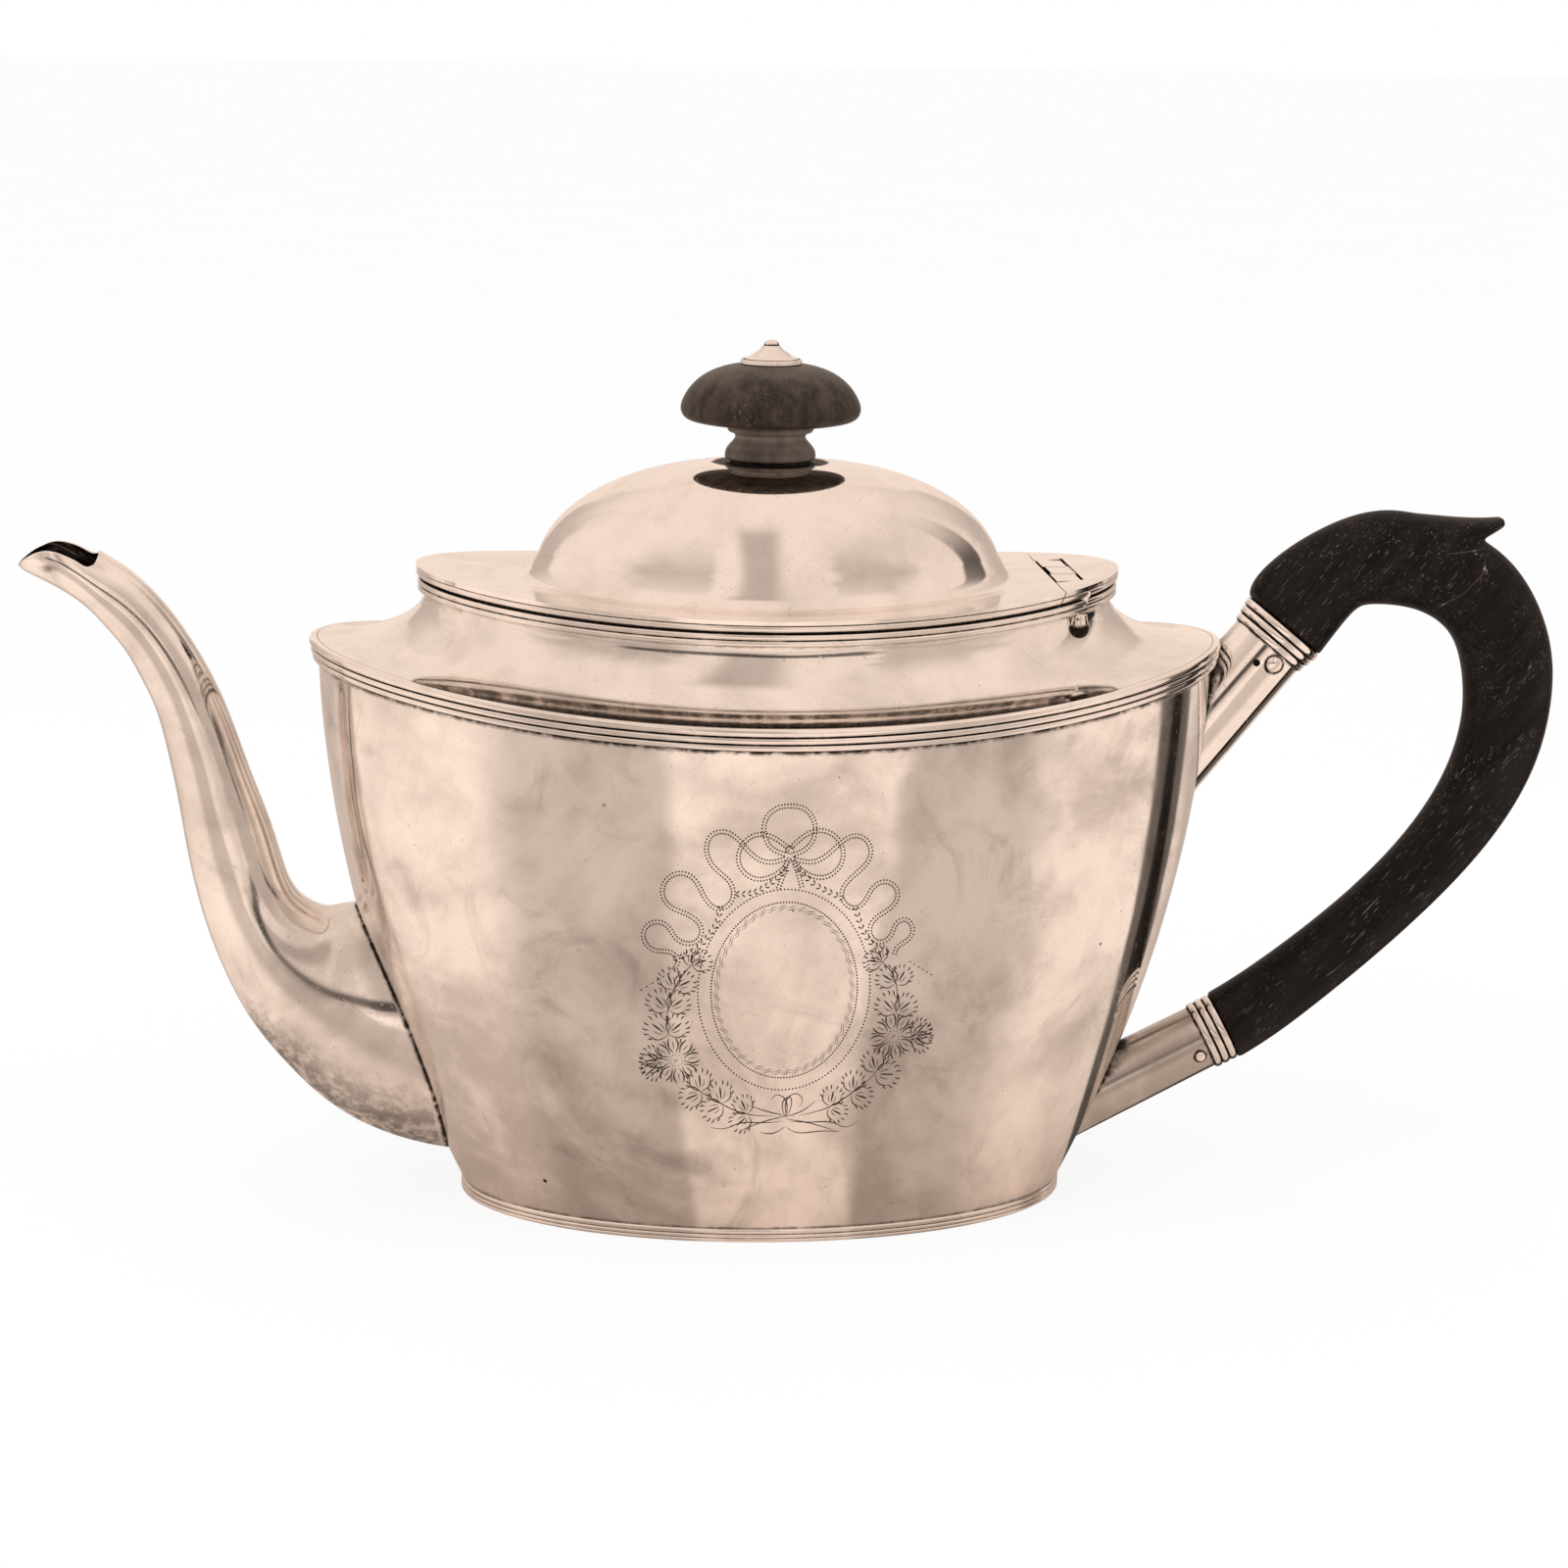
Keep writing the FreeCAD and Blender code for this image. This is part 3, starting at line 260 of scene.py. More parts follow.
def smooth_line(points, spacing):
    """Points at an even spacing on a smooth line through a few points."""
    points = np.asarray(points, float)
    knots = chord_knots(points)
    fine = cubic_line(knots, points, np.linspace(0, knots[-1], 30 * len(points)))
    lengths = chord_knots(fine)
    places = np.linspace(0, lengths[-1], max(3, round(lengths[-1] / spacing) + 1))
    return np.stack([np.interp(places, lengths, fine[:, axis]) for axis in range(fine.shape[1])], axis=1)


def headings(path):
    """Unit directions along a line of points."""
    along = np.gradient(path, axis=0)
    return along / np.linalg.norm(along, axis=1)[:, None]


def boat_climb(x, half_length, rise):
    """Climb of a boat-shaped edge at a distance x from the middle."""
    if not rise:
        return np.zeros_like(x)
    radius = (half_length ** 2 + rise ** 2) / (2 * rise)
    return radius - np.sqrt(radius ** 2 - np.minimum(np.abs(x), radius) ** 2)


def oval(half_length, half_width, low, high, turns=OVAL_TURNS):
    """Ring of points on an oval whose ends lie higher than its sides."""
    x = half_length * np.cos(turns)
    return np.stack([x, half_width * np.sin(turns), low + boat_climb(x, half_length, high - low)], axis=1)


def outward(half_length, half_width, turns=OVAL_TURNS):
    """Level directions straight out of an oval."""
    x, y = np.cos(turns) / half_length, np.sin(turns) / half_width
    length = np.hypot(x, y)
    return np.stack([x / length, y / length, np.zeros_like(x)], axis=1)


def wall_axes(height):
    """Half length and half width of the pot's wall at a height."""
    left = 1 - (height - BASE_THICKNESS) / (WALL_TOP - BASE_THICKNESS)
    share = 1 - left ** 2
    return (FOOT_HALF_LENGTH + (RIM_HALF_LENGTH - FOOT_HALF_LENGTH) * share,
            FOOT_HALF_WIDTH + (RIM_HALF_WIDTH - FOOT_HALF_WIDTH) * share)


def dent(point, wave, depth):
    """Gentle unevenness of hammered sheet."""
    return depth * noise.noise(Vector(point) / wave)


def leave_wall(tube, rows, sunk):
    """Even rows along each column of a tube, from just inside the pot's wall on."""
    half_length, half_width = wall_axes(tube[..., 2])
    inside = (tube[..., 0] / (half_length - sunk)) ** 2 + (tube[..., 1] / (half_width - sunk)) ** 2 < 1
    steps = np.arange(len(tube))
    columns = []
    for column in range(tube.shape[1]):
        leaving = np.nonzero(inside[:, column])[0][-1]
        places = np.linspace(leaving, steps[-1], rows)
        columns.append(np.stack([np.interp(places, steps, values) for values in tube[:, column].T], axis=1))
    return np.stack(columns, axis=1)


def inset_line(line, distance, first, last):
    """Inner line of sheet metal; first and last are the directions at its ends."""
    line = np.asarray(line, float)
    along = np.empty_like(line)
    along[1:-1] = line[2:] - line[:-2]
    along[0], along[-1] = first, last
    along /= np.linalg.norm(along, axis=1)[:, None]
    return line + distance * np.stack([-along[:, 1], along[:, 0]], axis=1)


def oval_rows(end_line, side_line):
    return [oval(a, b, low, high) for (a, high), (b, low) in zip(end_line, side_line)]


def reed_profile(reeds, base=0.0, clean_top=False, bulge=1.0):
    """Outline of a reeded wire as (out, up, darkness) from its top down; each reed is a radius and a step.
    The darkness is tarnish and painted shade in the valleys between reeds.
    """
    arc_steps = 14
    outline = [(0.0, 0.0, 0.0 if clean_top else 1.0)]
    height = 0.0
    for radius, step in reeds:
        for turn in np.linspace(math.pi / 2, -math.pi / 2, arc_steps + 1):
            # Tarnish and painted shade where each reed turns into a valley
            dirt_and_shade = min(1.0, max(0.0, (abs(math.sin(turn)) - 0.60) / 0.27))
            if clean_top and height == 0 and turn > 0:
                dirt_and_shade = 0.0
            outline.append((WIRE_BACK + step + bulge * radius * math.cos(turn),
                            height - radius + radius * math.sin(turn), dirt_and_shade))
        height -= 2 * radius
    if base:
        outline.append((outline[-1][0], height - base, 1.0))
    outline.append((0.0, height - base, 1.0))
    return outline


def swept_reeds(profile, spine, out):
    """Rings of a reeded wire along a spine."""
    return np.array([spine + out * reach + np.array([0, 0, rise]) for reach, rise, _ in profile])


# Materials

class Field:
    """A number or colour that a node gives; sums and products of fields add nodes for them."""

    def __init__(self, nodes, socket):
        self.nodes, self.socket = nodes, socket

    def __add__(self, other):
        return self.nodes.math("ADD", self, other)

    def __sub__(self, other):
        return self.nodes.math("SUBTRACT", self, other)

    def __rsub__(self, other):
        return self.nodes.math("SUBTRACT", other, self)

    def __mul__(self, other):
        return self.nodes.math("MULTIPLY", self, other)


class Nodes:
    """Short hand for building a node tree."""

    def __init__(self, tree):
        self.tree = tree
        self.tree.nodes.clear()

    def add(self, kind, output, settings=None, **inputs):
        """Adds a node and gives one of its outputs, or a list of them for a tuple.

        An input's name uses _ for a space, and a number picks an input by its place.
        """
        node = self.tree.nodes.new("ShaderNode" + kind)
        for name, value in (settings or {}).items():
            setattr(node, name, value)
        for name, value in inputs.items():
            socket = node.inputs[int(name[1:]) if name[1:].isdigit() else name.replace("_", " ")]
            if isinstance(value, Field):
                self.tree.links.new(value.socket, socket)
            else:
                socket.default_value = value
        if isinstance(output, tuple):
            return [Field(self, node.outputs[each]) for each in output]
        return Field(self, node.outputs[output]) if node.outputs else None

    def noise(self, vector, scale, detail=3.0, roughness=0.5, distortion=0.0):
        return self.add("TexNoise", "Fac", Vector=vector, Scale=scale, Detail=detail, Roughness=roughness,
                        Distortion=distortion)

    def band(self, value, low, high, to_low=0.0, to_high=1.0):
        """Smooth step from low to high."""
        return self.add("MapRange", "Result", {"interpolation_type": "SMOOTHSTEP"}, Value=value,
                        From_Min=low, From_Max=high, To_Min=to_low, To_Max=to_high)

    def math(self, operation, first, second=0.0):
        return self.add("Math", 0, {"operation": operation}, i0=first, i1=second)

    def highest(self, first, *others):
        for other in others:
            first = self.math("MAXIMUM", first, other)
        return first

    def from_middle(self, value, middle):
        """Distance of a value from a middle."""
        return self.math("ABSOLUTE", value - middle)

    def mix(self, factor, first, second):
        """Blend of two colours."""
        return self.add("Mix", 2, {"data_type": "RGBA"}, i0=factor, i6=first, i7=second)

    def place(self):
        return self.add("TexCoord", "Object")

    def marked(self):
        """What the mesh says about dirt, wear, painted shade and painted light."""
        return self.add("Attribute", "Fac", {"attribute_name": "grime"})

    def stretched(self, vector, rotation, scale):
        """Coordinates turned and then stretched."""
        turned = self.add("VectorRotate", 0, {"rotation_type": "EULER_XYZ"}, Vector=vector, Rotation=rotation)
        return self.add("Mapping", 0, Vector=turned, Scale=scale)

    def shade(self, **inputs):
        """Ends a material with its shader."""
        self.add("OutputMaterial", None, Surface=self.add("BsdfPrincipled", 0, **inputs))


def new_material(name):
    material = bpy.data.materials.new(name)
    material.use_nodes = True
    return material, Nodes(material.node_tree)


SILVER_BRIGHT = (0.97, 0.925, 0.885, 1)
SILVER_TARNISH = (0.46, 0.415, 0.38, 1)
SILVER_STAIN = (0.245, 0.215, 0.193, 1)
# Colour of dirt, and of painted shade in crevices and under parts
DIRT_AND_SHADE_DARK = (0.028, 0.02, 0.016, 1)
# Each set of scratches: how it is turned, and how stretched it is along its lines
SCRATCHES = (((0.3, 0.9, 0.2), 9), ((1.1, -0.5, 0.7), 14), ((-0.4, 0.2, 1.3), 11))


def silver(name, tarnish=0.55, wear=1.0, mirrored=False):
    """Old polished silver: cloudy patina, fine scratches, pits, and dirt and painted shade where the mesh
    says.
    """
    material, n = new_material(name)
    place = n.place()
    if mirrored:
        place = n.stretched(place, (0, 0, 0), (-1, 1, 1))
    clouds = n.noise(place, 20, 4, 0.55, 1.4)
    mottle = n.noise(place, 130, 6, 0.62, 0.4)
    stains = n.band(n.noise(place, 34, 5, 0.6, 2.2), 0.56, 0.72)
    # Painted shade: the patina darkens a little towards the foot of the pot
    low = n.band(n.add("SeparateXYZ", 2, Vector=place), 0.075, 0.005)
    patina = n.band(clouds * 0.72 + mottle * 0.28 + low * 0.07, 0.40, 0.66) * tarnish
    lines = [n.noise(n.stretched(place, turn, (2600, 2600, stretch)), 1.0, 1.0, 0.4)
             for turn, stretch in SCRATCHES]
    scratches = n.highest(*[n.band(line, 0.735, 0.765) for line in lines])
    cell, distance = n.add("TexVoronoi", ("Color", "Distance"), Vector=place, Scale=125.0)
    chosen = n.band(n.add("SeparateColor", 0, Color=cell), 0.80, 0.86)
    pits = n.band(distance + n.noise(place, 900, 2) * 0.08, 0.10, 0.07) * chosen
    specks = n.band(n.noise(place, 1500, 2, 0.5), 0.735, 0.78)
    marks = n.highest(pits, specks * 0.55) * wear
    uneven = n.band(n.noise(place, 420, 4, 0.65), 0.30, 0.62)
    dirt_and_shade = n.band(n.marked() * (uneven * 0.55 + 0.62), 0.18, 0.85)
    dark = n.highest(marks, dirt_and_shade)
    colour = n.mix(patina, SILVER_BRIGHT, SILVER_TARNISH)
    colour = n.mix(stains * (0.45 * tarnish), colour, SILVER_STAIN)
    colour = n.mix(scratches * 0.20, colour, SILVER_STAIN)
    colour = n.mix(dark, colour, DIRT_AND_SHADE_DARK)
    rough = patina * 0.15 + 0.06 + scratches * 0.16 + dark * 0.45
    height = mottle * 0.30 - marks * 0.9 - scratches * 0.25
    bump = n.add("Bump", 0, Strength=0.10, Distance=0.00022, Height=height)
    n.shade(Base_Color=colour, Metallic=1.0, Roughness=rough, Normal=bump)
    return material


def cut_surface(name, plain, facet):
    """Floor of a cut: plain in most places, with paler facets that are painted glints."""
    material, n = new_material(name)
    bright = n.band(n.noise(n.place(), 700, 2), 0.58, 0.74)
    n.shade(Base_Color=n.mix(bright, plain, facet), Roughness=0.75 - bright * 0.2, Specular_IOR_Level=0.15)
    return material


WORN_AND_LIT_WOOD = (0.36, 0.275, 0.225, 1)
PALE_PORE = (0.30, 0.235, 0.19, 1)


def dark_wood(name, grain_turn, dark, pale, amount, gloss, pore):
    """Ebonised hardwood with short pale pores along its grain, paler where the mesh says: wear, and on the
    knob's stem painted reflected light.
    """
    material, n = new_material(name)
    place = n.place()
    grain = (0, math.radians(grain_turn), 0)
    pores = n.noise(n.stretched(place, grain, (pore, 4400, 4400)), 1.0, 2.0, 0.55)
    long_pores = n.noise(n.stretched(place, grain, (pore / 3, 3200, 3200)), 1.0, 1.5, 0.5)
    zones = n.band(n.noise(place, 75, 3, 0.55, 0.8), 0.40, 0.66)
    flecks = n.highest(n.band(pores, 0.63, 0.72), n.band(long_pores, 0.665, 0.74))
    flecks = flecks * (zones * (0.80 * amount) + 0.10 * amount)
    streaks = n.noise(n.stretched(place, grain, (24, 330, 330)), 1.0, 4.0, 0.6)
    colour = n.mix(n.band(streaks, 0.35, 0.70), dark, pale)
    colour = n.mix(n.marked() * (streaks * 1.1 + 0.15), colour, WORN_AND_LIT_WOOD)
    colour = n.mix(flecks, colour, PALE_PORE)
    bump = n.add("Bump", 0, Strength=0.35, Distance=0.0002, Height=streaks * 0.3 - flecks)
    n.shade(Base_Color=colour, Roughness=streaks * 0.20 + 0.34, Specular_IOR_Level=gloss, Normal=bump)
    return material


WALL_SILVER = silver("wall_silver", tarnish=0.7, mirrored=True)
LID_SILVER = silver("lid_silver", tarnish=0.4, wear=0.8)
WIRE_SILVER = silver("wire_silver", tarnish=0.35, wear=0.5)
PIN_SILVER = silver("pin_silver", tarnish=0.1, wear=0.2)
SPOUT_SILVER = silver("spout_silver", tarnish=0.62)
SOCKET_SILVER = silver("socket_silver", tarnish=0.95)
INNER_SILVER = silver("inner_silver", tarnish=0.8)
CUT_SILVER = cut_surface("cut_silver", (0.030, 0.020, 0.015, 1), (0.16, 0.115, 0.09, 1))
SPLIT_WOOD = cut_surface("split_wood", (0.06, 0.042, 0.034, 1), (0.34, 0.27, 0.225, 1))
HANDLE_WOOD = dark_wood("handle_wood", 50, (0.0045, 0.0031, 0.0025, 1), (0.014, 0.0098, 0.0078, 1),
                        amount=0.55, gloss=0.13, pore=420)
KNOB_WOOD = dark_wood("knob_wood", 90, (0.014, 0.0085, 0.006, 1), (0.060, 0.040, 0.029, 1),
                      amount=0.9, gloss=0.22, pore=1000)


# Pot wall

WALL_ROWS = 90
WALL_DENT_WAVE, WALL_DENT_DEPTH, DENT_FADE, SMOOTH_EDGE = 21.0, 0.11, 12.0, 3.0
RIPPLE_WAVE, RIPPLE_DEPTH, RIPPLE_SHIFT = WALL_DENT_WAVE / 2.6, WALL_DENT_DEPTH / 5, 90
# Grime and painted shade against the wires at the top and the foot of the wall
GRIME_AND_SHADE_BAND, SHOULDER_WIRE_REACH, FOOT_WIRE_REACH, FOOT_GRIME_AND_SHADE = 0.75, 3.1, 2.4, 0.45


def wall_dent(x, y, z):
    """Unevenness of the wall, fading out at the foot and under the shoulder."""
    fade = min(z - SMOOTH_EDGE, RIM_HEIGHT - SMOOTH_EDGE - z) / DENT_FADE
    if fade <= 0:
        return 0.0
    return min(1.0, fade) * (dent((x, y, z), WALL_DENT_WAVE, WALL_DENT_DEPTH)
                             + dent((x + RIPPLE_SHIFT, y, z), RIPPLE_WAVE, RIPPLE_DEPTH))


def wall_point(x, z):
    """Point on the uneven near face of the wall and the direction straight out of it."""
    half_length, half_width = wall_axes(z)
    y = -half_width * math.sqrt(max(0.0, 1 - (x / half_length) ** 2))
    out = Vector((x / half_length ** 2, y / half_width ** 2, 0)).normalized()
    step = 0.5
    lean = (wall_axes(z + step)[1] - wall_axes(z - step)[1]) / (2 * step)
    return Vector((x, y, z)) + out * wall_dent(x, y, z), (out - Vector((0, 0, lean))).normalized()


def pot_wall():
    cosine, sine = np.cos(OVAL_TURNS), np.sin(OVAL_TURNS)
    top = np.full(OVAL_COLUMNS, RIM_HEIGHT)
    for _ in range(5):
        top = RIM_HEIGHT + boat_climb(wall_axes(top)[0] * cosine, RIM_HALF_LENGTH, RIM_RISE)
    outer, inner, grime = [], [], []
    for share in np.linspace(0, 1, WALL_ROWS):
        height = BASE_THICKNESS + (top - BASE_THICKNESS) * share
        half_length, half_width = wall_axes(height)
        ring = np.stack([half_length * cosine, half_width * sine, height], axis=1)
        out = outward(half_length, half_width)
        ring += out * np.array([wall_dent(*point) for point in ring])[:, None]
        outer.append(ring)
        inner.append(np.stack([(half_length - SHEET) * cosine, (half_width - SHEET) * sine, height], axis=1))
        below = np.exp(-(top - SHOULDER_WIRE_REACH - height) / GRIME_AND_SHADE_BAND)
        above = FOOT_GRIME_AND_SHADE * np.exp(-(height - FOOT_WIRE_REACH) / GRIME_AND_SHADE_BAND)
        grime.append(np.clip(np.maximum(below, above), 0, 1))
    inside = np.full((WALL_ROWS, OVAL_COLUMNS), INSIDE_GRIME)
    return band_piece("pot_wall", outer + inner[::-1], "pot", WALL_SILVER, replaced=["body_wall"],
                      grime=np.concatenate([grime, inside]))


STRAINER_PITCH, STRAINER_RADIUS, STRAINER_DEPTH = 5.2, 1.0, 30.0
STRAINER_X, STRAINER_HEIGHT = -66.0, 30.0
STRAINER_ROWS = {-2: 3, -1: 4, 0: 5, 1: 4, 2: 3}
STRAINER_HOLES = [(STRAINER_X, STRAINER_PITCH * (place - (count - 1) / 2),
                   STRAINER_HEIGHT + STRAINER_PITCH * math.sqrt(0.75) * row)
                  for row, count in STRAINER_ROWS.items() for place in range(count)]
drill(pot_wall(), STRAINER_HOLES, "Y", STRAINER_RADIUS, STRAINER_DEPTH, 20)


# Engraved cartouche on the front: a bow of dotted ribbon, leaf swags and a wreath round an oval.
# Points are millimetres right of and above the oval's middle, as seen by the viewer.

CARTOUCHE_HEIGHT = 48.0
FORESHORTENING = 1.084
CUT_SUNK, CUT_RAISED = -0.02, 0.045
DOT_RADIUS, DOT_PITCH, DOT_SIDES, RIBBON_HALF_WIDTH = 0.235, 0.50, 6, 0.29
STROKE_WIDTH, STROKE_STEP, STROKE_END, STALK_WIDTH = 0.3, 0.3, 0.12, 0.28
# Cuts on each side of a leaf's or petal's middle: a turn from it, where the cut starts and stops as shares of
# the length, its width, the share of its own length where it is widest, and its bend
LEAF_CUTS = ((0.62, 0.04, 0.84, 0.30, 0.65, 0.24), (0.30, 0.22, 0.66, 0.22, 0.5, 0.12),
             (0.80, 0.62, 0.88, 0.36, 0.6, 0.18), (0.56, 0.80, 1.06, 0.36, 0.6, 0.18),
             (0.35, 0.86, 1.14, 0.36, 0.6, 0.18), (0.12, 0.92, 1.18, 0.36, 0.6, 0.18))
PETAL_CUTS = ((0.14, 0.34, 1.02, 0.40, 0.65, 0.17), (0.36, 0.74, 0.98, 0.30, 0.6, 0.15))
PETALS, FIRST_PETAL, STAMENS, STAMEN_RING, STAMEN_RADIUS = 8, 0.25, 12, 0.26, 0.14
SWAG_PITCH, SWAG_TURN, SWAG_NEAR, SWAG_FAR, SWAG_WIDTH = 1.05, 0.62, 0.05, 0.8925, 0.40
WAVES, WAVE_SWING, WAVE_STEPS, WAVE_WIDTH = 44, 0.2, 10, 0.17


def oval_line(half_width, half_height, turns, right=0.0, above=0.0):
    return np.stack([right + half_width * np.cos(turns), above + half_height * np.sin(turns)], axis=1)


class Engraving:
    """Collects small cuts on the wall into one mesh."""

    def __init__(self):
        self.points, self.faces = [], []

    def corner(self, right, above, lift):
        point, out = wall_point(right, CARTOUCHE_HEIGHT + above * FORESHORTENING)
        self.points.append(point + out * lift)
        return len(self.points) - 1

    def dot(self, right, above, radius=DOT_RADIUS):
        ring = [self.corner(right + radius * math.cos(turn), above + radius * math.sin(turn), CUT_SUNK)
                for turn in full_turn(DOT_SIDES)]
        top = self.corner(right, above, CUT_RAISED)
        self.faces += [(ring[side - 1], ring[side], top) for side in range(DOT_SIDES)]

    def dots(self, line, pitch=DOT_PITCH, offset=0.0, closed=False):
        path = smooth_line(line, pitch)
        along = headings(path)
        path = path + offset * np.stack([-along[:, 1], along[:, 0]], axis=1)
        for right, above in path[:-1] if closed else path:
            self.dot(right, above)

    def ribbon(self, line):
        for side in (1, -1):
            self.dots(line, offset=side * RIBBON_HALF_WIDTH)

    def cut(self, line, width=STROKE_WIDTH, heavy_at=0.4):
        """Tapered stroke of the graver along a line, widest at a share of its length."""
        path = smooth_line(line, STROKE_STEP) if len(line) > 2 else np.linspace(line[0], line[1], 4)
        rows = []
        for index, ((right, above), (ahead, up)) in enumerate(zip(path, headings(path))):
            share = index / (len(path) - 1)
            swell = share / heavy_at if share < heavy_at else (1 - share) / (1 - heavy_at)
            half = width / 2 * (STROKE_END + (1 - STROKE_END) * math.sqrt(max(0.0, swell)))
            rows.append((self.corner(right - up * half, above + ahead * half, CUT_SUNK),
                         self.corner(right, above, CUT_RAISED),
                         self.corner(right + up * half, above - ahead * half, CUT_SUNK)))
        for first, second in zip(rows, rows[1:]):
            self.faces.append((first[0], first[1], second[1], second[0]))
            self.faces.append((first[1], first[2], second[2], second[1]))
        self.faces += [(rows[0][0], rows[0][2], rows[0][1]), (rows[-1][0], rows[-1][1], rows[-1][2])]

    def ray(self, start, angle, near, far, width, heavy_at=0.4, bend=0.0):
        """Stroke out of a point between two distances, bent sideways by a share of its length."""
        ahead = np.array([math.cos(angle), math.sin(angle)])
        aside = np.array([-ahead[1], ahead[0]])
        start = np.array(start)
        middle = start + ahead * (near + far) / 2 + aside * bend * (far - near)
        self.cut([start + ahead * near, middle, start + ahead * far], width, heavy_at)

    def paired_rays(self, base, angle, length, cuts):
        for side in (1, -1):
            for turn, near, far, width, heavy_at, bend in cuts:
                self.ray(base, angle + side * turn, near * length, far * length, width, heavy_at, bend * side)

    def leaf(self, base, angle, length):
        """Broad leaf: a heavy vein between two curved sides, and short heavy cuts round its end."""
        self.ray(base, angle, 0.22 * length, 0.86 * length, 0.46, 0.6)
        self.paired_rays(base, angle, length, LEAF_CUTS)

    def flower(self, middle, size):
        for petal in range(PETALS):
            angle = math.tau * (petal + FIRST_PETAL) / PETALS
            self.paired_rays(middle, angle, size, PETAL_CUTS)
            self.ray(middle, angle, 0.50 * size, 0.86 * size, 0.24, 0.5)
        for right, above in oval_line(STAMEN_RING * size, STAMEN_RING * size, full_turn(STAMENS), *middle):
            self.dot(right, above, STAMEN_RADIUS)
        self.ray(middle, 0.6, -0.10 * size, 0.12 * size, 0.26)

    def swag(self, line):
        """Garland of small paired drops."""
        path = smooth_line(line, SWAG_PITCH)
        for place, (ahead, up) in zip(path, headings(path)):
            for side in (1, -1):
                angle = math.atan2(up, ahead) + math.pi + side * SWAG_TURN
                self.ray(place, angle, SWAG_NEAR, SWAG_FAR, SWAG_WIDTH, 0.72)

    def oval(self, half_width, half_height, pitch):
        self.dots(oval_line(half_width, half_height, np.linspace(0, math.tau, 49)), pitch, closed=True)

    def wavy_oval(self, half_width, half_height):
        turns = np.linspace(0, math.tau, WAVES * WAVE_STEPS + 1)
        wave = WAVE_SWING * np.sin(WAVES * turns)
        line = oval_line(half_width + wave, half_height + wave, turns)
        for first in range(0, len(turns) - 1, WAVE_STEPS):
            self.cut(line[first:first + WAVE_STEPS + 1], WAVE_WIDTH, 0.5)


DOTTED_OVALS = ((14.6, 16.9, 0.60), (12.4, 14.8, 0.50))
WAVY_OVALS = ((11.7, 14.1), (11.3, 13.7))
LEFT_RIBBON = (
    (-0.6, 21.8), (-3.1, 21.3), (-5.3, 22.0), (-7.2, 23.7), (-8.7, 25.2), (-10.6, 26.1), (-12.7, 25.6),
    (-13.6, 23.7), (-13.1, 21.5), (-11.4, 19.6), (-9.7, 18.1), (-9.0, 16.2), (-9.8, 14.3), (-11.7, 13.7),
    (-13.2, 14.7), (-14.4, 16.6), (-15.5, 18.3), (-17.6, 19.3), (-19.8, 18.5), (-20.8, 16.4), (-19.8, 14.1),
    (-17.6, 13.0), (-15.5, 12.0), (-14.2, 10.2), (-14.9, 8.3), (-17.0, 7.9), (-18.7, 9.0), (-19.8, 10.5),
    (-21.7, 11.2), (-23.6, 10.0), (-23.6, 7.9), (-21.9, 6.5), (-19.5, 6.3), (-18.0, 5.1), (-18.7, 3.4))
RIGHT_RIBBON = (
    (1.1, 21.8), (4.5, 21.4), (6.8, 22.6), (8.8, 24.3), (11.3, 25.4), (13.4, 24.3), (13.9, 22.4),
    (12.4, 20.0), (10.2, 18.1), (9.2, 16.2), (10.0, 14.3), (11.7, 13.7), (13.4, 15.1), (14.5, 16.9),
    (16.4, 17.8), (18.5, 16.6), (18.6, 14.7), (16.6, 12.8), (14.5, 11.1), (14.5, 8.8), (16.2, 7.9),
    (17.9, 9.0), (18.8, 10.9), (20.2, 11.4), (21.5, 10.2), (21.1, 8.3), (19.0, 6.8), (18.6, 5.8))
LEFT_BOW = ((0.2, 23.4), (-1.5, 24.7), (-3.4, 25.6), (-5.7, 25.6), (-7.6, 24.1), (-8.3, 21.8), (-7.6, 20.0),
            (-5.3, 18.6), (-2.7, 19.0), (-0.8, 20.3), (0.2, 21.8))
RIGHT_BOW = ((0.5, 23.7), (2.2, 25.2), (4.5, 26.3), (6.8, 26.0), (8.6, 24.5), (9.2, 21.8), (8.1, 19.8),
             (6.0, 18.8), (3.7, 19.2), (1.8, 20.5), (0.7, 22.0))
TOP_LOOP = ((-0.6, 22.6), (-2.7, 23.5), (-4.0, 25.6), (-3.8, 28.3), (-1.9, 30.0), (0.2, 30.3), (2.6, 29.8),
            (4.3, 27.5), (4.1, 24.9), (2.6, 23.2), (1.1, 22.6))
BOW_TAILS = (((-0.2, 21.5), (-0.6, 19.6), (-1.5, 17.1)), ((0.9, 21.5), (1.7, 19.6), (2.4, 17.3)))
SWAGS = (
    ((-0.6, 19.8), (-3.4, 17.5), (-6.5, 16.2), (-8.7, 16.1)),
    ((2.2, 19.8), (4.9, 17.5), (7.5, 16.2), (9.6, 15.1)),
    ((-11.2, 13.4), (-11.7, 11.3), (-12.9, 9.4), (-14.4, 7.5), (-16.6, 6.0), (-18.9, 5.1)),
    ((11.8, 13.2), (12.6, 10.9), (13.9, 8.6), (15.8, 6.8), (17.7, 6.0)))
